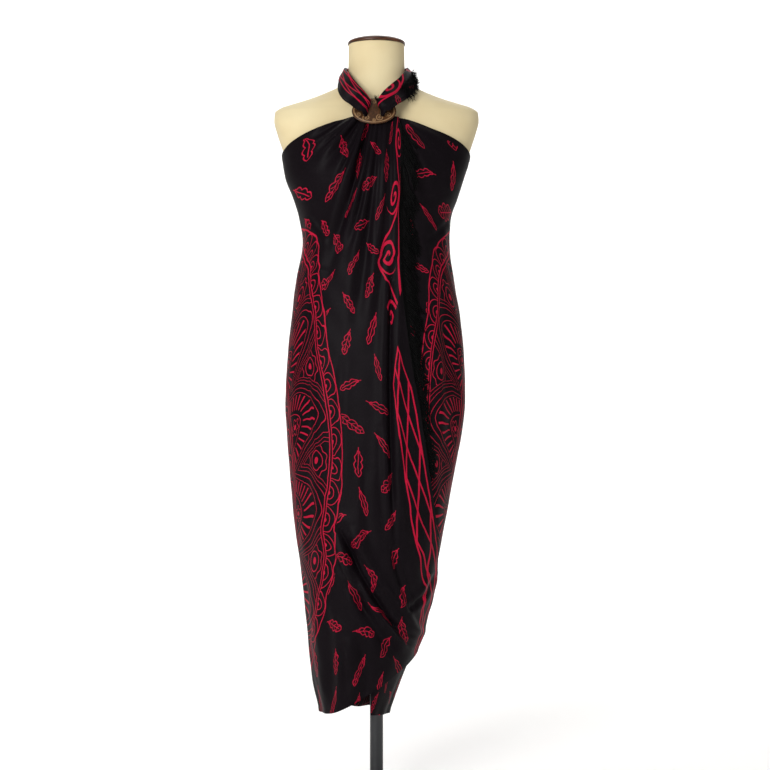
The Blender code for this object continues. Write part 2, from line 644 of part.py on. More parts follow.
def strand_fringe(strip, sideways, face, strands, root_half=0.0011):
    """A narrow strip of corners with strands drawn out of its side.

    strip is the points along the strip, with sideways and face as its unit directions there. Strand k
    leaves the strip between points 2k and 2k+1 and goes through the points of strands[k] to its tip. Its
    four sides come from one face of the strip, so the whole is one skin.
    """
    count = len(strip)
    half_wide = 0.0015
    half_thick = 0.0008
    corners = np.stack(
        [
            strip + sideways * half_wide + face * half_thick,
            strip + sideways * half_wide - face * half_thick,
            strip - sideways * half_wide - face * half_thick,
            strip - sideways * half_wide + face * half_thick,
        ],
        axis=1,
    )
    vertices = corners.reshape(-1, 3).tolist()
    faces = [[0, 1, 2, 3], [4 * (count - 1) + k for k in (3, 2, 1, 0)]]
    for row in range(count - 1):
        a, b = 4 * row, 4 * (row + 1)
        for side in range(4):
            after = (side + 1) % 4
            if side == 0 and row % 2 == 0:
                continue
            faces.append([a + side, b + side, b + after, a + after])
    for k, points in enumerate(strands):
        a, b = 8 * k, 8 * k + 4
        loop = [a, b, b + 1, a + 1]
        aim = points[-1] - points[0]
        cross = np.cross(aim / np.linalg.norm(aim), face[2 * k])
        cross = cross * root_half * np.sign(cross @ (strip[2 * k + 1] - strip[2 * k]))
        outward = face[2 * k] * root_half
        for middle, size in zip(points, np.linspace(1.0, 0.35, len(points))):
            first = len(vertices)
            corners_here = [outward - cross, outward + cross, cross - outward, -outward - cross]
            vertices.extend((middle + size * corner).tolist() for corner in corners_here)
            new = [first, first + 1, first + 2, first + 3]
            for side in range(4):
                after = (side + 1) % 4
                faces.append([loop[side], new[side], new[after], loop[after]])
            loop = new
        faces.append(loop)
    return vertices, faces


EDGE_STRANDS = 46
EDGE_FRINGE_TOP = 1.254
EDGE_FRINGE_END = 0.640
EDGE_GAP = 0.0005  # from the cloth's edge to the fringe's strip
EDGE_STRAND_LENGTH = 0.062


def build_edge_fringe(over, material):
    """The fringe of the top layer's short end: strands that hang beside the edge and fan out a little."""
    points, normals = over
    edge, outward = points[-1], normals[-1]
    heights = np.linspace(EDGE_FRINGE_TOP, EDGE_FRINGE_END, 2 * EDGE_STRANDS)
    on_edge = np.stack([np.interp(-heights, -edge[:, 2], edge[:, k]) for k in range(3)], axis=1)
    face = np.stack([np.interp(-heights, -edge[:, 2], outward[:, k]) for k in range(3)], axis=1)
    down = np.gradient(on_edge, axis=0)
    down /= np.linalg.norm(down, axis=1, keepdims=True)
    face -= (face * down).sum(axis=1, keepdims=True) * down
    face /= np.linalg.norm(face, axis=1, keepdims=True)
    sideways = np.cross(down, face)
    sideways *= np.sign(sideways[:, 0:1])
    strip = on_edge + sideways * (0.0015 + EDGE_GAP) + face * 0.0002
    strands = []
    for k in range(EDGE_STRANDS):
        i = 2 * k
        middle = (strip[i] + strip[i + 1]) / 2
        slant = math.radians(22 + 6 * math.sin(2.4 * k))
        length = EDGE_STRAND_LENGTH * (1 + 0.16 * math.sin(1.7 * k + 1)) * (1 - 0.35 * k / EDGE_STRANDS)
        aim = math.cos(slant) * down[i] + math.sin(slant) * sideways[i]
        root = middle + sideways[i] * 0.004 + down[i] * 0.004 + face[i] * 0.0008
        points = [root]
        for share, lift in ((0.5, 0.0068), (1.0, 0.0058 + 0.0012 * math.sin(5.1 * k))):
            point = middle + aim * length * share
            turn = math.degrees(math.atan2(point[0], -point[1]))
            points.append(round_point(turn, math.hypot(*under_surface(point)) + lift, point[2]))
        strands.append(points)
    add_object("edge_fringe", *strand_fringe(strip, sideways, face, strands), material)


def under_surface(point):
    """The x and y of the under layer in the same direction from the axis, at the same height."""
    angles = np.arange(0.0, 110.0, 0.5)
    ring = drape(angles, np.full(len(angles), point[2]), "under")
    turns = np.arctan2(ring[:, 0], -ring[:, 1])
    want = math.atan2(point[0], -point[1])
    nearest = int(np.abs(turns - want).argmin())
    return ring[nearest, 0], ring[nearest, 1]


def build_tails(cloth, thread):
    """The two cloth ends that hang from the knot, each with a fringe along its end."""
    for name, side in (("left", -1), ("right", 1)):
        stations = tail_stations(side)
        rings = strap_rings(stations, flutes=4, sides=14)
        add_object(f"tail_{name}", *tube_mesh(rings), cloth, 60.0)
        last = stations[-1]
        strands = 9
        spread = np.linspace(-1, 1, 2 * strands)
        half = last.half_width / 1000 * 0.86
        strip = np.stack(
            [last.x + spread * half, np.full(2 * strands, last.y), np.full(2 * strands, last.z - 0.0036)], axis=1
        )
        sideways = np.tile([0.0, 0.0, -1.0], (2 * strands, 1))
        face = np.tile([0.0, 1.0, 0.0], (2 * strands, 1))
        paths = []
        for k in range(strands):
            middle = (strip[2 * k] + strip[2 * k + 1]) / 2
            lean = 0.010 * spread[2 * k]
            length = 0.040 * (1 + 0.15 * math.sin(2.2 * k + side))
            tip = middle + np.array([lean, 0.002 * math.sin(3 * k), -length])
            paths.append([middle + np.array([0.0, 0.0, -0.006]), tip])
        add_object(f"tail_fringe_{name}", *strand_fringe(strip, sideways, face, paths, 0.0006), thread)


def build_strap_fringe(thread):
    """The fringed end that sticks out along the outer edge of the right strap, beside the neck."""
    rings = strap_rings(RIGHT_STRAP)
    table = np.array(RIGHT_STRAP, float)
    strands = 14
    where = np.linspace(6.2, 8.2, 2 * strands)
    whole = np.arange(len(table))
    lower_side = STRAP_SIDES // 2 if rings[7, 0, 2] > rings[7, STRAP_SIDES // 2, 2] else 0
    edge = np.stack([np.interp(where, whole, rings[:, lower_side, k]) for k in range(3)], axis=1)
    middle = np.stack([np.interp(where, whole, table[:, k]) for k in range(3)], axis=1)
    sideways = edge - middle
    sideways /= np.linalg.norm(sideways, axis=1, keepdims=True)
    along = np.gradient(edge, axis=0)
    along /= np.linalg.norm(along, axis=1, keepdims=True)
    face = np.cross(along, sideways)
    face *= np.sign(face[:, 0:1])
    strip = edge + sideways * (0.0015 + SEAM_GAP) + face * 0.002
    paths = []
    for k in range(strands):
        root = (strip[2 * k] + strip[2 * k + 1]) / 2 + sideways[2 * k] * 0.003 + face[2 * k] * 0.003
        share = k / (strands - 1)
        length = (0.033 - 0.012 * share) * (1 + 0.15 * math.sin(2.3 * k))
        low = np.array([0.10 + 0.12 * math.sin(1.9 * k), -0.74, -0.58])
        high = np.array([0.55, -0.50, -0.15 + 0.2 * math.sin(3.1 * k)])
        aim = low + (high - low) * share
        paths.append([root, root + aim / np.linalg.norm(aim) * length])
    add_object("strap_fringe", *strand_fringe(strip, sideways, face, paths, 0.0009), thread)


def clear_scene():
    for obj in list(bpy.data.objects):
        bpy.data.objects.remove(obj)


def main():
    clear_scene()
    jersey = surface_finish("cotton jersey", (0.89, 0.83, 0.68), 0.75)
    wood = surface_finish("varnished wood", (0.42, 0.24, 0.14), 0.35)
    metal = surface_finish("powder coated steel", (0.10, 0.10, 0.10), 0.5, 0.6)
    cloth = surface_finish("printed rayon", (0.08, 0.07, 0.08), 0.6)
    thread = surface_finish("rayon fringe", (0.04, 0.04, 0.04), 0.7)
    shell = surface_finish("coconut shell", (0.42, 0.28, 0.18), 0.4)
    build_form(jersey)
    build_stand(wood, metal)
    over = over_grid(44, CLOTH_ROWS)
    add_object("wrap_over", *wall_mesh(*over), cloth)
    add_object("wrap_under", *wall_mesh(*under_grid(18, CLOTH_ROWS)), cloth)
    add_object("wrap_back", *wall_mesh(*back_grid(17, CLOTH_ROWS)), cloth)
    build_buckle(shell)
    build_straps(cloth)
    build_knot(cloth)
    build_tails(cloth, thread)
    build_edge_fringe(over, thread)
    build_strap_fringe(thread)


main()
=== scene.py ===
# %% [markdown]
# # A sarong tied as a halter dress
#
# One printed rectangle of rayon, 1.15 m deep and about 1.70 m long, is wrapped round a tailor's form.
# Its two upper corners go through a coconut shell buckle and are knotted behind the neck. This lesson
# dresses the imported CAD model: each plain solid is replaced by a fine surface that lies where the
# solid lies, so the first cell only loads that model.

# %% The imported frame
import math
from collections import namedtuple

import bpy
import numpy as np
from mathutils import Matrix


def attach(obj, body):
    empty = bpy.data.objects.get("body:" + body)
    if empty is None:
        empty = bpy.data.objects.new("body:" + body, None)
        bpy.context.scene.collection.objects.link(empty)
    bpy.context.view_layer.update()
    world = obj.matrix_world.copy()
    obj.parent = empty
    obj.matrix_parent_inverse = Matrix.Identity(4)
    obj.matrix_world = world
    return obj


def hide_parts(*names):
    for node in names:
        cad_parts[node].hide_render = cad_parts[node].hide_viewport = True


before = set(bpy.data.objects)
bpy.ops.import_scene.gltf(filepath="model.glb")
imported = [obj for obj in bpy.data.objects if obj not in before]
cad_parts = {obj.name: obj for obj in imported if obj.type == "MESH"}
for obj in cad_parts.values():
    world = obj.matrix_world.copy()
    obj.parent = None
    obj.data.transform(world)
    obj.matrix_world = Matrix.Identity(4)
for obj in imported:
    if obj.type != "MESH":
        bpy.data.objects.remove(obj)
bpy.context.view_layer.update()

# %% [markdown]
# ## Camera
#
# The picture was taken from the front at about half the object's height, from some three metres.
# A camera could be aimed at the middle, but a level one keeps the upright edges upright, as they are
# in the picture, so it is only moved up and a little to the right.

# %% Camera
camera = bpy.data.objects.new("camera", bpy.data.cameras.new("camera"))
camera.location = (0.01615, -3.0, 0.78)
camera.rotation_euler = (math.pi / 2, 0.0, 0.0)
camera.data.lens = 73.8
camera.data.sensor_width = 36.0
bpy.context.scene.collection.objects.link(camera)
bpy.context.scene.camera = camera
print("camera at", tuple(camera.location))

# %% [markdown]
# ## Colours, nodes and meshes
#
# Colours are picked as sRGB hex values, which is how they are read off a screen, and Blender's shaders
# work in linear light, so one function turns one into the other. One small function adds a node with
# its settings and links. The print needs long sums, so those are written as tables that a second
# function works down row by row.

# %% Helpers for materials
def linear(hex_colour):
    """Each sRGB part c becomes c/12.92 if it is small, and otherwise ((c + 0.055) / 1.055) to the 2.4."""
    parts = [int(hex_colour[i : i + 2], 16) / 255 for i in (1, 3, 5)]
    return (*[c / 12.92 if c <= 0.04045 else ((c + 0.055) / 1.055) ** 2.4 for c in parts], 1.0)


def add_node(tree, kind, inputs=(), stops=(), **settings):
    """One node with its settings. inputs gives each input's number, colour or the output linked to it, and
    stops gives the place and hex colour of each end of a colour ramp."""
    node = tree.nodes.new("ShaderNode" + kind)
    for name, value in settings.items():
        setattr(node, name, value)
    for number, (place, colour) in enumerate(stops):
        node.color_ramp.elements[number].position = place
        node.color_ramp.elements[number].color = linear(colour)
    pairs = inputs.items() if isinstance(inputs, dict) else enumerate(inputs)
    for key, value in pairs:
        if isinstance(value, bpy.types.NodeSocket):
            tree.links.new(value, node.inputs[key])
        elif isinstance(value, bpy.types.Node):
            tree.links.new(value.outputs[0], node.inputs[key])
        elif value is not None:
            node.inputs[key].default_value = value
    return node


def work_down(tree, known, table):
    """Each row of the table names a result, the operation, and the numbers or earlier results it takes."""
    for name, operation, *terms in table:
        inputs = [known[term] if isinstance(term, str) else term for term in terms]
        known[name] = add_node(tree, "Math", inputs, operation=operation).outputs[0]


def new_material(name):
    """A new material, the tree of its nodes, and the shader in it that is already linked to the output."""
    material = bpy.data.materials.new(name)
    material.use_nodes = True
    tree = material.node_tree
    return material, tree, tree.nodes["Principled BSDF"]


def finish_shader(tree, shader, **sockets):
    """Sets or links the shader's sockets, which are named with _ in place of each space."""
    for name, value in sockets.items():
        socket = shader.inputs[name.replace("_", " ")]
        if isinstance(value, bpy.types.Node):
            value = value.outputs[0]
        if isinstance(value, bpy.types.NodeSocket):
            tree.links.new(value, socket)
        else:
            socket.default_value = value


# %% Helpers for meshes
FULL_TURN = 2 * math.pi


def add_piece(name, vertices, faces, materials, replaces, slot, uv=None, normals=None, inner=0, sharp=None):
    """One smooth object from vertices and faces that already point outwards. The last inner faces take
    the second material. uv gives each vertex its place on the flat cloth, in metres, and edges over
    sharp degrees stay crisp."""
    mesh = bpy.data.meshes.new(name)
    mesh.from_pydata(np.asarray(vertices).tolist(), [], [list(face) for face in faces])
    for material in materials:
        mesh.materials.append(material)
    mesh.shade_smooth()
    if inner:
        index = np.zeros(len(mesh.polygons), dtype=np.int32)
        index[-inner:] = 1
        mesh.polygons.foreach_set("material_index", index)
    if uv is not None:
        corner = np.empty(len(mesh.loops), dtype=np.int32)
        mesh.loops.foreach_get("vertex_index", corner)
        layer = mesh.uv_layers.new(name="Cloth")
        layer.uv.foreach_set("vector", np.asarray(uv, dtype=np.float32)[corner].ravel())
    if sharp:
        mesh.set_sharp_from_angle(angle=math.radians(sharp))
    if normals is not None:
        mesh.normals_split_custom_set_from_vertices(np.asarray(normals).tolist())
    piece = bpy.data.objects.new(name, mesh)
    bpy.context.scene.collection.objects.link(piece)
    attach(piece, "root")
    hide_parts(*replaces)
    triangles = sum(len(face) - 2 for face in faces)
    print(f"{name}: {triangles} triangles")
    return piece


def skin(rings):
    """Quads over rings of points, each joined to the next and closed round, with a cap on both ends."""
    count, size = rings.shape[:2]
    index = np.arange(count * size).reshape(count, size)
    after = np.roll(index, -1, axis=1)
    faces = np.stack([index[:-1], after[:-1], after[1:], index[1:]], axis=-1).reshape(-1, 4).tolist()
    faces += [index[0, ::-1].tolist(), index[-1].tolist()]
    return rings.reshape(-1, 3), faces


def full_turn(sides):
    """The angles of that many even steps round, in radians."""
    return np.arange(sides) / sides * FULL_TURN


def turned(profile, sides):
    """A solid turned about the upright axis: every (radius, height) of the profile, carried round."""
    turn = full_turn(sides)
    radius, height = np.array(profile).T
    across = np.outer(radius, np.cos(turn))
    along = np.outer(radius, np.sin(turn))
    return skin(np.stack([across, along, np.repeat(height[:, None], sides, axis=1)], axis=-1))


# %% [markdown]
# ## Curves through tables
#
# The form and the drape are given as tables of level sections. A straight join between the rows would
# show as corners, and a plain cubic swings past them, so the curve used here has limited slopes: it is
# smooth and never overshoots a row.

# %% Curves
def through(at, knots, values):
    """A cubic between each two knots, whose slope at a knot is the harmonic mean of its neighbours'."""
    knots = np.asarray(knots, float)
    values = np.asarray(values, float)
    at = np.clip(at, knots[0], knots[-1])
    step = np.diff(knots)
    slope = np.diff(values) / step
    same_way = slope[1:] * slope[:-1] > 0
    total = np.where(same_way, slope[1:] + slope[:-1], 1.0)
    inner = np.where(same_way, 2 * slope[1:] * slope[:-1] / total, 0.0)
    tangent = np.concatenate([slope[:1], inner, slope[-1:]])
    i = np.clip(np.searchsorted(knots, at, side="right") - 1, 0, len(step) - 1)
    t = (at - knots[i]) / step[i]
    rise = values[i + 1] - values[i]
    start = step[i] * tangent[i]
    end = step[i] * tangent[i + 1]
    return values[i] + t * start + t**2 * (3 * rise - 2 * start - end) + t**3 * (start + end - 2 * rise)


def column(rows, name, at, key="height"):
    """One column of a table of named rows, read smoothly at any height or share."""
    return through(at, [getattr(row, key) for row in rows], [getattr(row, name) for row in rows])


def bend(first, corner, last, t):
    """A parabola from first to last that heads for the corner: (1-t)^2 a + 2t(1-t) b + t^2 c."""
    return (1 - t) ** 2 * first + 2 * t * (1 - t) * corner + t**2 * last


def fade(value, start, end):
    """0 before start and 1 after end, with a soft change between: 3t^2 - 2t^3."""
    t = np.clip((value - start) / (end - start), 0.0, 1.0)
    return t * t * (3 - 2 * t)


def bump(value, spread):
    """1 at 0, falling away as e to the minus square of value over spread."""
    return np.exp(-((value / spread) ** 2))


# %% [markdown]
# ## The form
#
# A limbless body form is a hollow shell under stretched cream jersey. It could be sculpted, but its level
# sections are squared ovals, so one formula gives every point from a short table of sizes. The bust
# is a soft swell on each side of the front. The cloth is later kept clear of the same formula.

# %% Sizes of the form
FormSection = namedtuple("FormSection", "height half_breadth front back squareness")
FORM_SECTIONS = [
    FormSection(0.655, 0.130, 0.076, 0.092, 2.2),
    FormSection(0.662, 0.150, 0.093, 0.109, 2.2),
    FormSection(0.690, 0.157, 0.099, 0.114, 2.2),
    FormSection(0.760, 0.160, 0.103, 0.119, 2.2),
    FormSection(0.820, 0.157, 0.105, 0.116, 2.2),
    FormSection(0.900, 0.149, 0.102, 0.101, 2.2),
    FormSection(0.980, 0.138, 0.096, 0.083, 2.2),
    FormSection(1.050, 0.129, 0.091, 0.073, 2.2),
    FormSection(1.100, 0.134, 0.093, 0.077, 2.2),
    FormSection(1.140, 0.145, 0.100, 0.084, 2.2),
    FormSection(1.170, 0.156, 0.105, 0.088, 2.2),
    FormSection(1.200, 0.170, 0.103, 0.090, 2.3),
    FormSection(1.225, 0.178, 0.094, 0.090, 2.4),
    FormSection(1.255, 0.188, 0.082, 0.088, 2.6),
    FormSection(1.280, 0.194, 0.072, 0.084, 2.8),
    FormSection(1.295, 0.193, 0.067, 0.081, 2.6),
    FormSection(1.303, 0.184, 0.064, 0.078, 2.4),
    FormSection(1.312, 0.158, 0.062, 0.075, 2.2),
    FormSection(1.322, 0.127, 0.059, 0.071, 2.0),
    FormSection(1.333, 0.098, 0.056, 0.066, 2.0),
    FormSection(1.345, 0.073, 0.053, 0.061, 2.0),
    FormSection(1.360, 0.0580, 0.0505, 0.0575, 2.0),
    FormSection(1.380, 0.0535, 0.0490, 0.0550, 2.0),
    FormSection(1.425, 0.0530, 0.0490, 0.0540, 2.0),
]
BUST_HEIGHT = 1.160
BUST_ANGLE = 31.0
BUST_SPREAD = 20.0
BUST_DEPTH = 0.024
BUST_REACH = 0.058
BODY_BOTTOM = 0.655
NECK_TOP = 1.425
RING_SHARES = [0.0, 0.03, 0.45, 0.86, 1.0]  # of the form's rings, at the heights below
RING_HEIGHTS = [BODY_BOTTOM, 0.668, 1.230, 1.365, NECK_TOP]


def form_radius(angle, height):
    """Distance from the axis: a squared oval, (sum of |sin/breadth|^n and |cos/depth|^n) to the -1/n,
    plus two bell-shaped swells for the bust. The angle is in degrees from the front."""
    turn = np.radians(angle)
    breadth = column(FORM_SECTIONS, "half_breadth", height)
    front = column(FORM_SECTIONS, "front", height)
    back = column(FORM_SECTIONS, "back", height)
    power = column(FORM_SECTIONS, "squareness", height)
    depth = np.where(np.cos(turn) > 0, front, back)
    oval = (np.abs(np.sin(turn)) / breadth) ** power + (np.abs(np.cos(turn)) / depth) ** power
    sides = bump(angle - BUST_ANGLE, BUST_SPREAD) + bump(angle + BUST_ANGLE, BUST_SPREAD)
    return oval ** (-1 / power) + BUST_DEPTH * sides * bump(height - BUST_HEIGHT, BUST_REACH)


# %% [markdown]
# Jersey is a fine knit, stretched and pinned under the body. At this size its ribs are thinner than a
# pixel, so they are drawn about 2.5 mm apart with a faint relief, and the cream varies a little as cloth
# does that has been handled.

# %% Jersey and the form
def make_jersey():
    """Cotton jersey: matt, cream, with ribs that run up and down and a soft fuzz."""
    material, tree, shader = new_material("cotton jersey")
    place = add_node(tree, "TexCoord").outputs["Object"]
    ribs = add_node(tree, "Mapping", {"Vector": place, "Scale": (400, 400, 90)})
    knit = add_node(tree, "TexNoise", {"Vector": ribs, "Scale": 1.0, "Detail": 2.0})
    wear = add_node(tree, "TexNoise", {"Vector": place, "Scale": 9.0, "Detail": 3.0})
    tint = add_node(tree, "ValToRGB", [wear], [(0.3, "#CBB98F"), (0.7, "#D8C9A1")])
    relief = add_node(tree, "Bump", {"Strength": 0.18, "Distance": 0.0006, "Height": knit.outputs[0]})
    finish_shader(tree, shader, Base_Color=tint, Roughness=0.72, Normal=relief)
    finish_shader(tree, shader, Sheen_Weight=0.10, Sheen_Roughness=0.5, Specular_IOR_Level=0.25)
    return material


def form_rings(count, sides):
    """Level rings of the form, close together at the shoulders where the outline turns fast."""
    height = through(np.linspace(0, 1, count), RING_SHARES, RING_HEIGHTS)
    angle = np.arange(sides) / sides * 360 - 180
    turn = np.radians(angle)[None, :]
    radius = form_radius(angle[None, :], height[:, None])
    level = np.repeat(height[:, None], sides, axis=1)
    return np.stack([radius * np.sin(turn), -radius * np.cos(turn), level], axis=-1)


jersey = make_jersey()
add_piece("dress_form", *skin(form_rings(190, 180)), [jersey], ["form_torso"], "jersey", sharp=40)

# %% [markdown]
# ## Neck cap, pole and foot
#
# The cap is a shallow dome turned on a lathe and varnished, so its rings of grain run level. The pole
# and the round foot are steel with a satin powder coat, which has a faint pebbled skin. All three
# are profiles carried round the axis, with rounded edges that catch the light.

# %% Wood and steel
def make_varnished_wood():
    """Varnished hardwood: brown rings and fine dark pores under a clear, fairly glossy coat."""
    material, tree, shader = new_material("varnished wood")
    place = add_node(tree, "TexCoord").outputs["Object"]
    grain = add_node(tree, "Mapping", {"Vector": place, "Scale": (60, 14, 160), "Rotation": (0.1, 0.2, 0.4)})
    figure = add_node(tree, "TexNoise", {"Vector": grain, "Scale": 1.0, "Detail": 5.0, "Distortion": 0.8})
    pores = add_node(tree, "TexNoise", {"Vector": grain, "Scale": 9.0, "Detail": 2.0})
    tint = add_node(tree, "ValToRGB", [figure], [(0.30, "#2A160C"), (0.68, "#5A3521")])
    relief = add_node(tree, "Bump", {"Strength": 0.2, "Distance": 0.0004, "Height": pores.outputs[0]})
    finish_shader(tree, shader, Base_Color=tint, Roughness=0.42, Normal=relief)
    finish_shader(tree, shader, Specular_IOR_Level=0.2, Coat_Weight=0.12, Coat_Roughness=0.25)
    return material


def make_powder_coat():
    """Powder coated steel: a near-black polyester skin with a soft gloss and a fine pebble."""
    material, tree, shader = new_material("powder coated steel")
    place = add_node(tree, "TexCoord").outputs["Object"]
    pebble = add_node(tree, "TexNoise", {"Vector": place, "Scale": 700.0, "Detail": 2.0})
    dust = add_node(tree, "TexNoise", {"Vector": place, "Scale": 14.0, "Detail": 4.0})
    colours = {0: dust.outputs[0], 6: linear("#17181A"), 7: linear("#26272A")}
    tint = add_node(tree, "Mix", colours, data_type="RGBA")
    relief = add_node(tree, "Bump", {"Strength": 0.15, "Distance": 0.0003, "Height": pebble.outputs[0]})
    finish_shader(tree, shader, Base_Color=tint.outputs[2], Roughness=0.45, Normal=relief)
    return material


varnished_wood = make_varnished_wood()
powder_coat = make_powder_coat()

# %% Cap, pole and foot
JOINT = 0.0003  # left between two pieces that stand on each other
AXIS = 0.001  # radius at which a profile ends, so that its cap has no pinched faces
CAP_FOOT = NECK_TOP + JOINT
CAP_RADIUS = 0.0545
CAP_RISE = 0.014
CAP_SIDE = 0.0035  # height of the cap's upright side
POLE_RADIUS = 0.0125
POLE_TOP = BODY_BOTTOM - JOINT
FLANGE_RADIUS = 0.035
FLANGE_THICKNESS = 0.006
FOOT_RADIUS = 0.150
FOOT_THICKNESS = 0.008
BEND_STEPS = 8


def rounded(first, corner, last):
    """Points of a profile from first to last that bend round the corner."""
    first, corner, last = np.array([first, corner, last])
    return bend(first, corner, last, np.linspace(0, 1, BEND_STEPS)[:, None]).tolist()


shoulder = CAP_FOOT + CAP_SIDE
turn = np.linspace(0, math.pi / 2, 22)[1:-1]
dome = np.stack([CAP_RADIUS * np.cos(turn), shoulder + (CAP_RISE - CAP_SIDE) * np.sin(turn)], axis=1)
cap_profile = [[AXIS, CAP_FOOT], [0.050, CAP_FOOT]]
cap_profile += rounded([0.0530, CAP_FOOT], [CAP_RADIUS, CAP_FOOT], [CAP_RADIUS, CAP_FOOT + 0.0015])
cap_profile += [[CAP_RADIUS, shoulder]] + dome.tolist()
cap = turned(cap_profile, 144)
add_piece("neck_cap_wood", *cap, [varnished_wood], ["neck_cap"], "wood_cap", sharp=30)

under_flange = POLE_TOP - FLANGE_THICKNESS
pole_foot = FOOT_THICKNESS + JOINT
pole_profile = [[AXIS, pole_foot], [0.0115, pole_foot], [POLE_RADIUS, pole_foot + 0.001]]
pole_corner = [POLE_RADIUS, under_flange]
pole_profile += rounded([POLE_RADIUS, under_flange - 0.010], pole_corner, [0.030, under_flange])
flange_corner = [FLANGE_RADIUS, under_flange]
pole_profile += rounded([0.0335, under_flange], flange_corner, [FLANGE_RADIUS, POLE_TOP - 0.003])
pole_profile += [[FLANGE_RADIUS, POLE_TOP], [AXIS, POLE_TOP]]
pole = turned(pole_profile, 72)
add_piece("stand_pole_steel", *pole, [powder_coat], ["stand_pole"], "stand_steel", sharp=30)

foot_corner = [FOOT_RADIUS, FOOT_THICKNESS]
foot_profile = [[AXIS, 0.0], [FOOT_RADIUS - 0.001, 0.0], [FOOT_RADIUS, 0.001], [FOOT_RADIUS, 0.004]]
foot_profile += rounded([FOOT_RADIUS, 0.0045], foot_corner, [FOOT_RADIUS - 0.0035, FOOT_THICKNESS])
foot_profile += [[AXIS, FOOT_THICKNESS]]
foot = turned(foot_profile, 180)
add_piece("stand_foot_steel", *foot, [powder_coat], ["stand_base"], "stand_steel", sharp=30)

# %% [markdown]
# ## The drape
#
# The cloth hangs from the bust, is drawn in at the waist and narrows to the hem. A cloth simulation could
# find such a shape, but the real one was pinned and pulled by hand, so it is laid out here too: level
# ovals from a table, pushed out by folds. Every fold is a path across the front or back with its own
# width and depth, because real folds differ in length, depth and spacing.

# %% Sizes of the drape
SEAM_ANGLE = 112.0
TOP_HEIGHT = 1.277
HEM_HEIGHT = 0.150
FORM_GAP = 0.0020
LAYER_RISE = 0.0050
COVERED_SINK = 0.0050
COVERED_SHARE = 0.6  # of the top layer's folds, which the covered cloth below follows
SOFTNESS = 0.003  # of the change from lying on the form to hanging free
FRONT_FADE = (-0.20, 0.15)  # cosines of the angles between which the front's folds fade in
REAR_FADE = (0.38, 0.62)
GATHER_PULL = 1.45
GATHER_FOOT = 0.930
WRAP_SQUARENESS = 2.15
UNDER_EDGE_ACROSS = -0.0085
WrapSection = namedtuple("WrapSection", "height left right front back")
WRAP_SECTIONS = [
    WrapSection(0.140, 0.1030, 0.0230, 0.074, 0.092),
    WrapSection(0.163, 0.1052, 0.0280, 0.076, 0.094),
    WrapSection(0.220, 0.1165, 0.0485, 0.084, 0.101),
    WrapSection(0.258, 0.1220, 0.0640, 0.090, 0.105),
    WrapSection(0.296, 0.1260, 0.0780, 0.095, 0.108),
    WrapSection(0.372, 0.1340, 0.0980, 0.103, 0.113),
    WrapSection(0.448, 0.1435, 0.1150, 0.110, 0.117),
    WrapSection(0.524, 0.1530, 0.1300, 0.115, 0.120),
    WrapSection(0.600, 0.1600, 0.1435, 0.118, 0.123),
    WrapSection(0.676, 0.1675, 0.1560, 0.120, 0.126),
    WrapSection(0.752, 0.1715, 0.1655, 0.121, 0.128),
    WrapSection(0.828, 0.1680, 0.1645, 0.121, 0.124),
    WrapSection(0.904, 0.1605, 0.1570, 0.119, 0.111),
    WrapSection(0.980, 0.1510, 0.1455, 0.117, 0.095),
    WrapSection(1.050, 0.1385, 0.1370, 0.118, 0.085),
    WrapSection(1.094, 0.1450, 0.1400, 0.123, 0.087),
    WrapSection(1.132, 0.1568, 0.1530, 0.128, 0.091),
    WrapSection(1.170, 0.1715, 0.1650, 0.128, 0.093),
    WrapSection(1.208, 0.1775, 0.1755, 0.118, 0.095),
    WrapSection(1.240, 0.1790, 0.1770, 0.103, 0.095),
    WrapSection(1.270, 0.1780, 0.1760, 0.088, 0.092),
    WrapSection(1.300, 0.1760, 0.1740, 0.075, 0.088),
]
EdgePoint = namedtuple("EdgePoint", "height angle")
FRINGED_EDGE = [
    EdgePoint(0.150, 92.0),
    EdgePoint(0.280, 92.0),
    EdgePoint(0.400, 84.0),
    EdgePoint(0.460, 72.0),
    EdgePoint(0.520, 57.0),
    EdgePoint(0.600, 43.0),
    EdgePoint(0.680, 33.0),
    EdgePoint(0.752, 26.0),
    EdgePoint(0.850, 20.0),
    EdgePoint(0.950, 17.0),
    EdgePoint(1.100, 15.5),
    EdgePoint(1.300, 12.0),
]
TOP_EDGE = [
    EdgePoint(TOP_HEIGHT, 0.0),
    EdgePoint(1.2740, 12.0),
    EdgePoint(1.2680, 20.6),
    EdgePoint(1.2543, 33.0),
    EdgePoint(1.2450, 42.6),
    EdgePoint(1.2333, 54.6),
    EdgePoint(1.2167, 75.0),
    EdgePoint(1.2090, 90.0),
    EdgePoint(1.2000, 112.0),
    EdgePoint(1.1880, 180.0),
]
HemPoint = namedtuple("HemPoint", "across height")
OVER_HEM = [
    HemPoint(-0.1055, 0.162),
    HemPoint(-0.0850, 0.168),
    HemPoint(-0.0550, 0.183),
    HemPoint(-0.0200, 0.204),
    HemPoint(-0.0050, 0.213),
    HemPoint(0.0160, 0.227),
    HemPoint(0.0410, 0.246),
    HemPoint(0.0560, 0.255),
    HemPoint(0.0690, 0.268),
    HemPoint(0.0846, 0.284),
]
UNDER_HEM = [HemPoint(0.0, 0.166), HemPoint(0.35, 0.162), HemPoint(1.0, 0.156)]
BACK_HEM = [HemPoint(0.0, 0.156), HemPoint(0.5, 0.152), HemPoint(1.0, 0.162)]
print(len(WRAP_SECTIONS), "sections of the wrap")

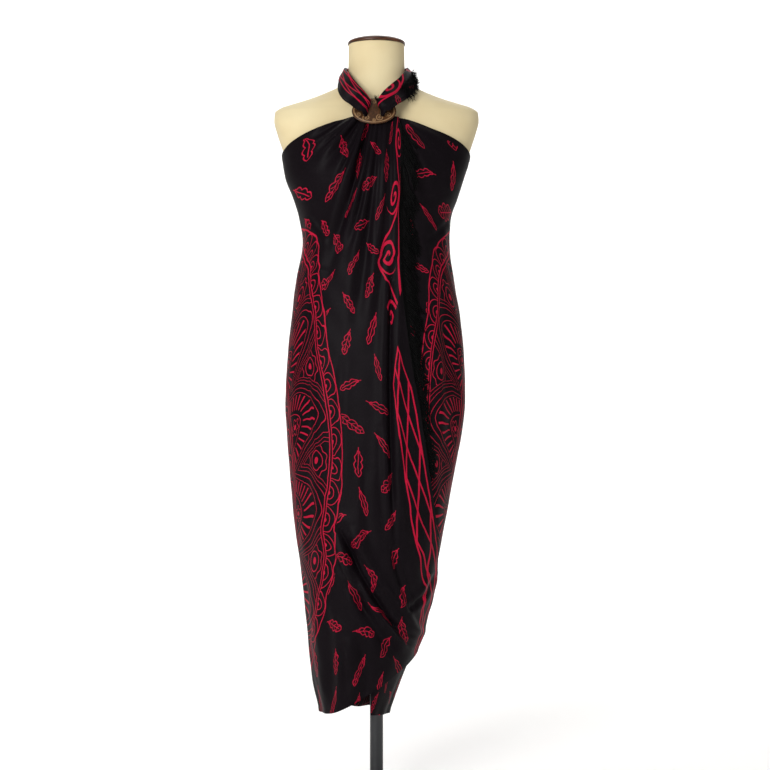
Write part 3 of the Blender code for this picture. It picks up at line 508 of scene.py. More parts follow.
# %% Tables of folds
# Each fold runs through three points of the front view, in metres, or of the back view for the back.
# Widths and depth are in millimetres. The short, narrow ones after the large ones are creases.
Fold = namedtuple("Fold", "x0 z0 x1 z1 x2 z2 width_start width_end depth")
OVER_FOLDS = [
    Fold(-0.034, 1.281, -0.075, 1.264, -0.130, 1.222, 5, 9, 5.5),
    Fold(-0.023, 1.277, -0.050, 1.236, -0.100, 1.165, 5, 10, 7.0),
    Fold(-0.009, 1.273, -0.030, 1.175, -0.098, 0.950, 7, 13, 9.0),
    Fold(-0.020, 1.150, -0.032, 1.090, -0.064, 1.000, 7, 10, 4.5),
    Fold(0.005, 1.272, -0.002, 1.120, -0.042, 0.850, 7, 14, 7.0),
    Fold(0.020, 1.270, 0.024, 1.120, 0.000, 0.840, 7, 13, 5.5),
    Fold(0.030, 1.000, 0.018, 0.760, 0.036, 0.440, 8, 10, 8.0),
    Fold(-0.060, 0.510, -0.010, 0.395, 0.082, 0.268, 12, 12, 10.5),
    Fold(-0.040, 0.410, 0.010, 0.310, 0.056, 0.244, 13, 11, 6.5),
    Fold(0.030, 0.470, 0.060, 0.400, 0.088, 0.330, 13, 12, 5.0),
    Fold(-0.090, 0.360, -0.082, 0.250, -0.078, 0.160, 13, 14, 5.0),
    Fold(-0.030, 0.320, -0.012, 0.230, -0.030, 0.180, 12, 11, 5.5),
    Fold(-0.125, 0.880, -0.138, 0.680, -0.118, 0.380, 15, 18, 4.0),
]
UNDER_FOLDS = [
    Fold(0.034, 1.282, 0.085, 1.268, 0.146, 1.232, 7, 9, 3.2),
    Fold(0.034, 1.268, 0.062, 1.215, 0.104, 1.110, 8, 13, 4.5),
    Fold(0.040, 1.190, 0.068, 1.030, 0.104, 0.850, 9, 15, 4.5),
    Fold(0.062, 1.000, 0.092, 0.790, 0.122, 0.570, 11, 15, 4.5),
    Fold(0.125, 0.930, 0.142, 0.760, 0.124, 0.560, 12, 15, 5.0),
]
OVER_CREASES = [
    Fold(-0.030, 1.279, -0.060, 1.252, -0.112, 1.200, 3, 6, 3.2),
    Fold(-0.018, 1.274, -0.038, 1.215, -0.082, 1.120, 3, 7, 4.2),
    Fold(-0.014, 1.273, -0.026, 1.200, -0.055, 1.075, 3, 6, 4.2),
    Fold(-0.003, 1.272, -0.012, 1.160, -0.050, 1.010, 3, 7, 4.6),
    Fold(0.012, 1.271, 0.012, 1.170, -0.006, 0.980, 3, 6, 3.0),
    Fold(0.026, 1.265, 0.030, 1.150, 0.022, 0.960, 3, 6, 2.0),
    Fold(-0.118, 1.085, -0.096, 1.050, -0.060, 1.035, 5, 7, 1.3),
    Fold(-0.130, 1.010, -0.100, 0.985, -0.070, 0.985, 5, 8, 1.2),
    Fold(0.027, 0.960, 0.019, 0.740, 0.036, 0.430, 3, 5, 3.2),
    Fold(0.008, 0.700, 0.004, 0.600, 0.018, 0.480, 6, 8, 1.8),
    Fold(-0.062, 0.820, -0.074, 0.700, -0.066, 0.560, 8, 10, 1.6),
    Fold(-0.020, 0.620, -0.024, 0.540, -0.006, 0.460, 7, 9, 1.5),
    Fold(-0.062, 0.508, -0.014, 0.392, 0.078, 0.268, 4, 5, 4.6),
    Fold(-0.078, 0.480, -0.040, 0.390, 0.006, 0.330, 6, 8, 3.0),
    Fold(0.010, 0.410, 0.040, 0.350, 0.078, 0.290, 5, 7, 3.2),
    Fold(-0.060, 0.300, -0.052, 0.240, -0.056, 0.190, 6, 8, 2.0),
    Fold(0.044, 0.620, 0.058, 0.540, 0.080, 0.450, 6, 8, 2.0),
    Fold(0.100, 0.419, 0.078, 0.370, 0.046, 0.362, 5, 7, 3.4),
    Fold(0.030, 0.477, 0.040, 0.395, 0.085, 0.318, 5, 7, 3.4),
    Fold(0.018, 0.352, 0.050, 0.322, 0.084, 0.300, 4, 6, 3.0),
    Fold(-0.050, 0.497, -0.030, 0.420, -0.020, 0.330, 6, 9, 3.6),
]
UNDER_CREASES = [
    Fold(0.036, 1.276, 0.070, 1.250, 0.120, 1.190, 3, 6, 1.5),
    Fold(0.040, 1.240, 0.060, 1.160, 0.084, 1.060, 4, 7, 1.8),
    Fold(0.136, 1.090, 0.110, 1.050, 0.074, 1.040, 5, 7, 1.3),
    Fold(0.070, 0.900, 0.084, 0.800, 0.088, 0.690, 6, 9, 1.6),
    Fold(0.146, 0.860, 0.150, 0.760, 0.140, 0.660, 6, 9, 1.4),
]
BACK_FOLDS = [
    Fold(-0.110, 1.180, -0.070, 1.080, -0.012, 1.020, 9, 14, 3.9),
    Fold(0.118, 1.176, 0.082, 1.090, 0.040, 1.050, 9, 13, 3.3),
    Fold(-0.096, 1.060, -0.040, 1.030, 0.020, 1.040, 7, 9, 2.4),
    Fold(0.100, 1.010, 0.060, 0.985, 0.012, 0.992, 7, 10, 2.4),
    Fold(0.034, 1.180, 0.030, 1.110, 0.042, 0.960, 6, 12, 3.0),
    Fold(-0.044, 0.760, -0.052, 0.560, -0.040, 0.300, 9, 13, 4.2),
    Fold(0.066, 0.700, 0.074, 0.480, 0.060, 0.240, 9, 12, 3.9),
    Fold(0.012, 0.540, 0.020, 0.360, 0.010, 0.180, 8, 12, 3.6),
    Fold(-0.086, 0.520, -0.080, 0.330, -0.070, 0.170, 8, 10, 3.3),
]
print(len(OVER_FOLDS + UNDER_FOLDS + BACK_FOLDS), "folds and", len(OVER_CREASES + UNDER_CREASES), "creases")

# %% Fold depth
PATH_STEPS = 30


def fold_depth(x, z, folds):
    """Outwards positive. Each fold adds depth * strength * (0.40 exp(-q^2/5) - (1-q^2) exp(-q^2/2)), a
    trough between two ridges, where q is the distance from its path in widths."""
    total = np.zeros(np.shape(x))
    t = np.linspace(0, 1, PATH_STEPS)
    for fold in folds:
        path_x = bend(fold.x0, fold.x1, fold.x2, t)
        path_z = bend(fold.z0, fold.z1, fold.z2, t)
        nearest = np.hypot(x[..., None] - path_x, z[..., None] - path_z).argmin(axis=-1)
        step_x = np.gradient(path_x)
        step_z = np.gradient(path_z)
        square = (step_x**2 + step_z**2)[nearest]
        away_x = x - path_x[nearest]
        away_z = z - path_z[nearest]
        past = np.clip((away_x * step_x[nearest] + away_z * step_z[nearest]) / square, -0.5, 0.5)
        away = np.hypot(away_x - past * step_x[nearest], away_z - past * step_z[nearest])
        along = (nearest + past) / (PATH_STEPS - 1)
        width = (fold.width_start + (fold.width_end - fold.width_start) * along) / 1000
        q = away / width
        strength = fade(along, -0.12, 0.12) * (1 - fade(along, 0.62, 1.04))
        shape = 0.40 * np.exp(-(q**2) / 5) - (1 - q**2) * np.exp(-(q**2) / 2)
        total += fold.depth / 1000 * strength * shape
    return total


# %% Flutes and crumple
HIP_HEIGHT = 0.760
FLUTES = 9
FLUTE_DEPTH = 0.0085
CRUMPLE_WAVES = 7


def flute_depth(angle, height):
    """Upright flutes of the sides and back: a cosine round the body that deepens towards the hem, with
    lines that sway a little on their way up."""
    low = 1 - fade(height, HEM_HEIGHT, HIP_HEIGHT)
    where = fade(np.abs(angle), 62.0, 105.0)
    sway = 14 * np.sin(6 * height)
    return FLUTE_DEPTH * low * where * np.cos(np.radians(FLUTES * angle + sway))


def crumple(angle, height):
    """The small unevenness of soft cloth: slanting waves 30 to 100 mm long, each under 0.3 mm high, which
    fade away over the bust, where the cloth is pulled tight."""
    draw = np.random.default_rng(12)
    total = np.zeros(np.broadcast_shapes(np.shape(angle), np.shape(height)))
    for _ in range(CRUMPLE_WAVES):
        round_waves = draw.integers(9, 26)
        up_waves = draw.uniform(-110, 110)
        phase = draw.uniform(0, FULL_TURN)
        wave = np.sin(np.radians(angle) * round_waves + up_waves * height + phase)
        total += draw.uniform(0.10, 0.26) * wave
    return total / 1000 * (1 - 0.85 * fade(height, 1.02, 1.18))


# %% [markdown]
# The three layers share one formula, so they meet at the side seams without a step. The top layer
# climbs over the under layer, the covered part of the under layer sinks and follows the top
# layer's folds a little, and a soft maximum keeps all of them off the form.

# %% The draped surfaces
def top_edge(angle):
    """Height of the cloth's upper edge, at an angle from the front in degrees."""
    return column(TOP_EDGE, "height", np.abs((angle + 180) % 360 - 180), "angle")


def ring_point(angle, height, out=0.0):
    """A squared oval, x = breadth sin^(2/n), y = -depth cos^(2/n), moved out along the oval's normal."""
    turn = np.radians(angle)
    left = column(WRAP_SECTIONS, "left", height)
    right = column(WRAP_SECTIONS, "right", height)
    front = column(WRAP_SECTIONS, "front", height)
    back = column(WRAP_SECTIONS, "back", height)
    breadth = (left + right) / 2
    depth = (front + back) / 2
    sine = np.sign(np.sin(turn)) * np.abs(np.sin(turn)) ** (2 / WRAP_SQUARENESS)
    cosine = np.sign(np.cos(turn)) * np.abs(np.cos(turn)) ** (2 / WRAP_SQUARENESS)
    normal_x = np.sin(turn) / breadth
    normal_y = -np.cos(turn) / depth
    length = np.hypot(normal_x, normal_y)
    x = (right - left) / 2 + breadth * sine + out * normal_x / length
    y = (back - front) / 2 - depth * cosine + out * normal_y / length
    return x, y


def angle_across(x, height):
    """The angle, in degrees, at which the front of the plain ring has that distance across."""
    left = column(WRAP_SECTIONS, "left", height)
    right = column(WRAP_SECTIONS, "right", height)
    share = (x - (right - left) / 2) * 2 / (left + right)
    sine = np.sign(share) * np.abs(share) ** (WRAP_SQUARENESS / 2)
    return np.degrees(np.arcsin(np.clip(sine, -1, 1)))


def drape(angle, height, layer):
    """The middle of one layer: ring, plus flutes, folds and crumple, kept clear of the form by
    a soft maximum, least + (over + sqrt(over^2 + 3 mm^2)) / 2."""
    x, _ = ring_point(angle, height)
    facing = np.cos(np.radians(angle))
    front = fade(facing, *FRONT_FADE)
    rear = fade(-facing, *REAR_FADE)
    out = flute_depth(angle, height) + crumple(angle, height)
    if layer == "over":
        out = out + front * fold_depth(x, height, OVER_FOLDS + OVER_CREASES)
    if layer == "under":
        past = fade(angle - column(FRINGED_EDGE, "angle", height), -3.0, 9.0)
        covered = COVERED_SHARE * fold_depth(x, height, OVER_FOLDS)
        shown = fold_depth(x, height, UNDER_FOLDS + UNDER_CREASES)
        out = out + front * (covered + past * (shown - covered))
        out = out - COVERED_SINK * (1 - past) * (1 - 0.6 * fade(height, 0.80, 1.00))
    if layer == "back":
        out = out + rear * fold_depth(x, height, BACK_FOLDS)
    rise = LAYER_RISE * fade(angle, -75.0, -18.0) if layer == "over" else 0.0
    x, y = ring_point(angle, height, out + rise)
    radius = np.hypot(x, y)
    least = form_radius(np.degrees(np.arctan2(x, -y)), np.maximum(height, BODY_BOTTOM)) + FORM_GAP + rise
    over = radius - least
    moved = least + 0.5 * (over + np.sqrt(over**2 + SOFTNESS**2))
    moved = np.where(height > BODY_BOTTOM - 0.02, np.maximum(moved, radius), radius)
    return np.stack([x * moved / radius, y * moved / radius, height], axis=-1)


def draped_wall(angle, height, layer):
    """Points of a layer with outward unit normals, from small steps round and up."""
    angle, height = np.broadcast_arrays(angle, height)
    across = drape(angle + 0.3, height, layer) - drape(angle - 0.3, height, layer)
    upward = drape(angle, height + 0.001, layer) - drape(angle, height - 0.001, layer)
    normal = np.cross(across, upward)
    return drape(angle, height, layer), normal / np.linalg.norm(normal, axis=-1, keepdims=True)


# %% [markdown]
# ## Flat cloth on the body
#
# The print was made on the flat cloth, so every point of the drape has to know where it lay on it. One
# number, U, is the distance from the middle of the back along the cloth's length, and V is the
# distance down from the top edge. They are kept as a UV map in metres, so every motif has its real size.
# Towards the buckle the cloth is gathered, which draws the lines of U together.

# %% Grids of the three layers
SIDE_U = 0.200  # flat cloth from the middle of the back to each side seam
OVER_CLOTH = 0.460  # from the left seam to the fringed edge, folds laid flat
UNDER_CLOTH = 0.360  # from the right seam to the hidden short end
EDGE_U = SIDE_U + OVER_CLOTH
PRINT_GATHER = 1.2
TUCKED = 1.3
PLEATS = {"over": OVER_FOLDS + OVER_CREASES, "under": UNDER_FOLDS + UNDER_CREASES}
HEM_ROWS = [0.0, 0.0012, 0.0028, 0.0045, 0.0060, 0.0075]  # shares of the way down, in each hem
BODY_START = 0.0095
BODY_ROWS = [0.0, 0.36, 0.60, 1.0]  # shares of the rows, and below how far down they reach
BODY_SHARES = [0.0, 0.22, 0.58, 1.0]
TOP_CORNER = 12.0  # the top layer's upper corner, in degrees from the front


def climb(height):
    """0 at the waist and 1 at the buckle: the share of the way up, to the power 1.5."""
    return np.clip((height - GATHER_FOOT) / (TOP_HEIGHT - GATHER_FOOT), 0, 1) ** 1.5


def gathered(share, height):
    """Draws the grid's lines together towards the buckle: share to the power 1 + pull * climb."""
    return share ** (1 + GATHER_PULL * climb(height))


def spread_rows(count):
    """Shares of the way down, closer over the bust and the swags, and closest in the two hems."""
    body = np.linspace(0, 1, count - 2 * len(HEM_ROWS))
    body = through(body, BODY_ROWS, BODY_SHARES)
    inner = BODY_START + body * (1 - 2 * BODY_START)
    return np.concatenate([HEM_ROWS, inner, 1 - np.array(HEM_ROWS[::-1])])


def cloth_share(angle, height, layer):
    """How much of a row's cloth lies before each point: the row's length so far, with the folds' rise and
    fall for the cloth that is tucked into them, over the same for the whole row."""
    x, y = ring_point(angle, height)
    off = fade(np.cos(np.radians(angle)), *FRONT_FADE) * fold_depth(x, height, PLEATS[layer])
    length = np.hypot(np.diff(x, axis=0), np.diff(y, axis=0))
    length = length + TUCKED * np.abs(np.diff(off, axis=0))
    so_far = np.concatenate([np.zeros((1, length.shape[1])), np.cumsum(length, axis=0)])
    return so_far / so_far[-1]


def over_grid(columns, rows):
    """Angles and heights of the top layer, from the left seam round the front to the fringed edge."""
    share = np.linspace(0, 1, columns) ** 0.85
    start = -SEAM_ANGLE
    down = spread_rows(rows)[None, :]
    low = np.full(columns, 0.2)
    for _ in range(4):
        angle = start + share * (column(FRINGED_EDGE, "angle", low) - start)
        low = column(OVER_HEM, "height", drape(angle, low, "over")[:, 0], "across")
    top_angle = TOP_CORNER + gathered(1 - share[:, None], TOP_HEIGHT) * (start - TOP_CORNER)
    top = top_edge(top_angle)
    height = top + down * (low[:, None] - top)
    edge = column(FRINGED_EDGE, "angle", height)
    angle = edge + gathered(1 - share[:, None], height) * (start - edge)
    from_edge = (1 - cloth_share(angle, height, "over")) ** (1 / (1 + PRINT_GATHER * climb(height)))
    return angle, height, EDGE_U - OVER_CLOTH * from_edge


def under_grid(columns, rows):
    """Angles and heights of the under layer, from its hidden short end round to the right seam."""
    share = np.linspace(0, 1, columns)
    hem = column(UNDER_HEM, "height", share, "across")[:, None]
    top = top_edge(gathered(share[:, None], TOP_HEIGHT) * SEAM_ANGLE)
    height = top + spread_rows(rows)[None, :] * (hem - top)
    start = angle_across(UNDER_EDGE_ACROSS, height)
    angle = start + gathered(share[:, None], height) * (SEAM_ANGLE - start)
    from_end = cloth_share(angle, height, "under") ** (1 / (1 + PRINT_GATHER * climb(height)))
    return angle, height, -SIDE_U - UNDER_CLOTH * (1 - from_end)


def back_grid(columns, rows):
    """Angles and heights of the back, from the right seam round to the left one."""
    share = np.linspace(0, 1, columns)
    angle = SEAM_ANGLE + share[:, None] * (360 - 2 * SEAM_ANGLE)
    hem = column(BACK_HEM, "height", share, "across")[:, None]
    top = top_edge(angle)
    height = top + spread_rows(rows)[None, :] * (hem - top)
    angle = np.broadcast_to(np.where(angle > 180, angle - 360, angle), height.shape)
    return angle, height, np.broadcast_to(SIDE_U * (2 * share[:, None] - 1), height.shape)


# %% [markdown]
# ## The print
#
# The cloth is printed in crimson lines on black: small lobed leaves strewn over the ground, a large
# round figure on the back whose rim comes forward on both sides, and a border of scrolls and
# net beside each fringed end. Each motif is a sum on U and V that says how far a point is from the
# nearest line, and the print is where that distance is under half a line. The figures are this
# lesson's own, laid out from rings, leaves and scrolls of the common kinds.

# %% Rows that the motifs share
LINE = 0.00095  # half the breadth of a printed line, in metres
FINE_LINE = 0.0008
PRINT_CENTRE_V = 0.575
PRINT_RADIUS = 0.503
PRINT_STRETCH = 1.10  # the round figure is this much higher than wide
BORDER = 0.092


def far_rows(name, across, along):
    """Rows for a distance: the root of across^2 + along^2."""
    return [
        ("sum", "MULTIPLY", across, across),
        ("sum", "MULTIPLY_ADD", along, along, "sum"),
        (name, "SQRT", "sum"),
    ]


def joined(name, *parts):
    """Rows that lay the lines of each part over those already there."""
    return [(name, "MAXIMUM", name, part) for part in parts]


def kept(name, *masks):
    """Rows that keep the lines only where every mask is 1."""
    return [(name, "MULTIPLY", name, mask) for mask in masks]


# %% Strewn leaves
LEAF_CELL = (0.064, 0.074)  # one leaf in each, in metres along U and V
LEAF_HALF = 0.0215  # half the length of the smallest leaf
LEAF_GROWTH = 0.0090
LEAF_LEAN = 1.35  # the most that a leaf leans to either side, in radians
VEIN_STEP = 0.0095
LEAF_MARGIN = 0.004  # between the leaves and the round figure
TOP_MARGIN = 0.012


def leaf_cells(tree, known):
    """A brick pattern of cells, with one leaf in each, turned, sized and shifted by the cell's own random
    numbers. Works out how far a point lies across and along its leaf."""
    work_down(tree, known, [
        ("column", "MULTIPLY", "u", 1 / LEAF_CELL[0]),
        ("column_no", "FLOOR", "column"),
        ("stagger", "MULTIPLY", "column_no", 0.5),
        ("row", "MULTIPLY_ADD", "v", 1 / LEAF_CELL[1], "stagger"),
        ("row_no", "FLOOR", "row"),
    ])
    cell = add_node(tree, "CombineXYZ", [known["column_no"], known["row_no"], 0.0])
    chance = add_node(tree, "TexWhiteNoise", {"Vector": cell}, noise_dimensions="3D").outputs["Color"]
    parts = add_node(tree, "SeparateColor", [chance])
    known.update(chance_a=parts.outputs[0], chance_b=parts.outputs[1], chance_c=parts.outputs[2])
    work_down(tree, known, [
        ("cell_u", "SUBTRACT", "column", "column_no"),
        ("shift_u", "MULTIPLY_ADD", "chance_b", 0.16, -0.58),
        ("cell_u", "ADD", "cell_u", "shift_u"),
        ("cell_u", "MULTIPLY", "cell_u", LEAF_CELL[0]),
        ("cell_v", "SUBTRACT", "row", "row_no"),
        ("shift_v", "MULTIPLY_ADD", "chance_c", 0.10, -0.55),
        ("cell_v", "ADD", "cell_v", "shift_v"),
        ("cell_v", "MULTIPLY", "cell_v", LEAF_CELL[1]),
        ("lean", "MULTIPLY_ADD", "chance_a", 2 * LEAF_LEAN, -LEAF_LEAN),
        ("half_length", "MULTIPLY_ADD", "chance_b", LEAF_GROWTH, LEAF_HALF),
    ])
    flat = add_node(tree, "CombineXYZ", [known["cell_u"], known["cell_v"], 0.0])
    lean = {"Vector": flat, "Angle": known["lean"]}
    leaning = add_node(tree, "SeparateXYZ", [add_node(tree, "VectorRotate", lean, rotation_type="Z_AXIS")])
    known.update(across=leaning.outputs[0], along=leaning.outputs[1])


def leaf_lines(tree, known):
    """The outline is where |across| = width * (1-t^2)^0.7 * (0.58 + 0.42 |sin(5.2 t + 0.9)|), the rib is
    where it is near 0, and veins slant from the rib at even steps in about half the leaves."""
    leaf_cells(tree, known)
    work_down(tree, known, [
        ("t", "DIVIDE", "along", "half_length"),
        ("across", "ABSOLUTE", "across"),
        ("square", "MULTIPLY", "t", "t"),
        ("taper", "SUBTRACT", 1.0, "square"),
        ("taper", "MAXIMUM", "taper", 0.0),
        ("taper", "POWER", "taper", 0.7),
        ("wave", "MULTIPLY_ADD", "t", 5.2, 0.9),
        ("wave", "SINE", "wave"),
        ("wave", "ABSOLUTE", "wave"),
        ("wave", "MULTIPLY_ADD", "wave", 0.42, 0.58),
        ("fullness", "MULTIPLY_ADD", "chance_c", 0.22, 0.22),
        ("width", "MULTIPLY", "half_length", "fullness"),
        ("width", "MULTIPLY", "width", "taper"),
        ("width", "MULTIPLY", "width", "wave"),
        ("leaf", "SUBTRACT", "across", "width"),
        ("leaf", "ABSOLUTE", "leaf"),
        ("leaf", "LESS_THAN", "leaf", FINE_LINE),
        ("in_leaf", "LESS_THAN", "square", 1.0),
        ("rib", "LESS_THAN", "across", 0.8 * FINE_LINE),
        ("rib_reach", "COMPARE", "t", -0.25, 1.0),
        ("vein", "MULTIPLY_ADD", "across", -1.1, "along"),
        ("vein", "MULTIPLY", "vein", 1 / VEIN_STEP),
        ("vein", "FRACT", "vein"),
        ("vein", "LESS_THAN", "vein", 0.15),
        ("inside", "MULTIPLY", "width", 0.75),
        ("inside", "LESS_THAN", "across", "inside"),
        ("veined", "GREATER_THAN", "chance_c", 0.55),
        ("outside", "GREATER_THAN", "r", PRINT_RADIUS + LEAF_MARGIN),
        ("inland", "GREATER_THAN", "e", BORDER),
        ("below", "GREATER_THAN", "v", TOP_MARGIN),
        *kept("leaf", "in_leaf"),
        *kept("rib", "rib_reach"),
        *kept("vein", "inside", "veined"),
        *joined("leaf", "rib", "vein"),
        *kept("leaf", "outside", "inland"),
        ("print", "MULTIPLY", "leaf", "below"),
    ])


# %% [markdown]
# The round figure is a set of rings. In each ring one motif is repeated evenly, so the angle is folded
# into one share of the ring, and a point is then known by s, its distance from that share's middle
# line, and t, its distance out from the ring's inner edge.

# %% Motifs of the rings
FAN_CONTOURS = (0.83, 0.30, 1.13, 1.24, 1.34)


def fan_rows(depth, half):
    """A pointed fan: its edge is where m = t/depth + (s/half)^1.6 is 0.965, with contours at other values
    of m, rays between two of them, and a flower near its foot. Between two fans is a flower round an eye,
    whose middle lies 0.74 of the depth out, and the corners at the fans' feet are filled."""
    rows = [
        ("bend", "MULTIPLY", "s", 1 / half),
        ("bend", "POWER", "bend", 1.6),
        ("m", "MULTIPLY_ADD", "t", 1 / depth, "bend"),
        ("lines", "COMPARE", "m", 0.965, FINE_LINE * 1.2 / depth),
    ]
    for level in FAN_CONTOURS:
        rows += [("contour", "COMPARE", "m", level, FINE_LINE / depth), *joined("lines", "contour")]
    return rows + [
        ("base", "ADD", "t", 0.004),
        ("ray", "ARCTAN2", "s", "base"),
        ("ray", "MULTIPLY", "ray", 15 / math.pi),
        ("ray", "FRACT", "ray"),
        ("ray", "COMPARE", "ray", 0.5, 0.11),
        ("span", "COMPARE", "m", 0.58, 0.19),
        ("seed", "SUBTRACT", "t", 0.13 * depth),
        *far_rows("far", "s", "seed"),
        ("flower", "ARCTAN2", "s", "seed"),
        ("flower", "MULTIPLY", "flower", 6.0),
        ("flower", "COSINE", "flower"),
        ("flower", "MULTIPLY_ADD", "flower", 0.022 * depth, "far"),
        ("flower", "COMPARE", "flower", 0.10 * depth, FINE_LINE),
        ("dot", "LESS_THAN", "far", 0.035 * depth),
        ("beyond", "GREATER_THAN", "m", 1.36),
        ("gap_s", "SUBTRACT", half, "s"),
        ("gap_t", "SUBTRACT", "t", 0.74 * depth),
        *far_rows("gap", "gap_s", "gap_t"),
        ("petal", "ARCTAN2", "gap_t", "gap_s"),
        ("petal", "MULTIPLY", "petal", 8.0),
        ("petal", "COSINE", "petal"),
        ("petal", "MULTIPLY_ADD", "petal", 0.0022, "gap"),
        ("petal", "COMPARE", "petal", 0.21 * depth, FINE_LINE),
        ("eye", "COMPARE", "gap", 0.13 * depth, FINE_LINE),
        ("pupil", "LESS_THAN", "gap", 0.045 * depth),
        ("corner", "LESS_THAN", "t", 0.16 * depth),
        *joined("eye", "pupil", "petal", "corner"),
        *kept("eye", "beyond"),
        *kept("ray", "span"),
        *joined("lines", "ray", "flower", "dot", "eye"),
    ]


def petal_rows(depth, half):
    """A petal: lines where s is 0.92 and 0.52 of half * sin(pi t/depth), round a seed at 0.16 of it."""
    return [
        ("arch", "MULTIPLY", "t", math.pi / depth),
        ("arch", "SINE", "arch"),
        ("lines", "MULTIPLY_ADD", "arch", -0.92 * half, "s"),
        ("lines", "COMPARE", "lines", 0.0, FINE_LINE),
        ("inner", "MULTIPLY_ADD", "arch", -0.52 * half, "s"),
        ("inner", "COMPARE", "inner", 0.0, FINE_LINE),
        ("span", "COMPARE", "t", 0.5 * depth, 0.36 * depth),
        ("seed", "MULTIPLY_ADD", "arch", -0.16 * half, "s"),
        ("seed", "LESS_THAN", "seed", 0.0),
        ("seed_span", "COMPARE", "t", 0.52 * depth, 0.20 * depth),
        *kept("inner", "span"),
        *kept("seed", "seed_span"),
        *joined("lines", "inner", "seed"),
    ]


def bead_rows(depth, half):
    """Beads: a circle and a dot on the middle of the ring, at sqrt(s^2 + (t - depth/2)^2)."""
    return [
        ("lift", "SUBTRACT", "t", depth / 2),
        *far_rows("far", "s", "lift"),
        ("lines", "COMPARE", "far", 0.36 * depth, FINE_LINE),
        ("dot", "LESS_THAN", "far", 0.10 * depth),
        *joined("lines", "dot"),
    ]


def scallop_rows(depth, half):
    """Scallops: two half circles and a dot about the foot of each share, at sqrt(s^2 + t^2)."""
    return [
        *far_rows("far", "s", "t"),
        ("lines", "COMPARE", "far", 0.92 * half, FINE_LINE),
        ("inner", "COMPARE", "far", 0.48 * half, FINE_LINE),
        ("dot", "LESS_THAN", "far", 0.16 * half),
        *joined("lines", "inner", "dot"),
    ]


def plain_rows(depth, half):
    """A plain band, so that only the circles at its edges show."""
    return [("lines", "LESS_THAN", "t", -1.0)]


# %% The round figure
Ring = namedtuple("Ring", "inner outer count motif")
RINGS = [
    Ring(0.000, 0.052, 8, petal_rows),
    Ring(0.052, 0.070, 18, bead_rows),
    Ring(0.070, 0.135, 12, fan_rows),
    Ring(0.135, 0.158, 40, scallop_rows),
    Ring(0.158, 0.218, 18, petal_rows),
    Ring(0.218, 0.228, 20, plain_rows),
    Ring(0.228, 0.318, 12, fan_rows),
    Ring(0.318, 0.342, 44, scallop_rows),
    Ring(0.342, 0.350, 20, plain_rows),
    Ring(0.350, 0.472, 16, fan_rows),
    Ring(0.472, 0.478, 20, plain_rows),
    Ring(0.478, PRINT_RADIUS, 60, scallop_rows),
]


def figure_lines(tree, known):
    """All rings: each adds its motif's lines between its two radii, and a circle at its inner edge."""
    for ring in RINGS:
        depth = ring.outer - ring.inner
        share = math.pi * (ring.inner + ring.outer) / ring.count
        work_down(tree, known, [
            ("turns", "MULTIPLY_ADD", "theta", ring.count / FULL_TURN, 0.5 * (ring.count % 4 == 0)),
            ("turns", "FRACT", "turns"),
            ("turns", "SUBTRACT", "turns", 0.5),
            ("turns", "ABSOLUTE", "turns"),
            ("s", "MULTIPLY", "turns", share),
            ("t", "SUBTRACT", "r", ring.inner),
            *ring.motif(depth, share / 2),
            ("within", "COMPARE", "t", depth / 2, depth / 2),
            ("edge", "COMPARE", "t", 0.0, LINE),
            *kept("lines", "within"),
            *joined("print", "lines", "edge"),
        ])
    work_down(tree, known, [("rim", "COMPARE", "r", PRINT_RADIUS, 1.2 * LINE), *joined("print", "rim")])


# %% The border
SCROLL_MIDDLE = 0.050  # from the short end
SCROLL_PITCH = 0.108  # from one curl to the next
SCROLL_END = 0.40
CURL_PITCH = 0.0198  # between a curl's turns
CURL_SIZE = 0.0345
STEM_MIDDLE = 0.048
STEM_SWING = 0.033
STEM_HALF = 0.0036  # half the stem's breadth
EDGE_LINE = 0.0080
EDGE_LINE_HALF = 0.0032
NET_START = 0.44
NET_MIDDLE = 0.033
NET_HALF = 0.023  # half the net's breadth
NET_MESH = (0.027, 0.125)
NET_LINE = 0.062  # half a line's breadth, as a share of a mesh
NET_SIDE_LINE = 0.0016


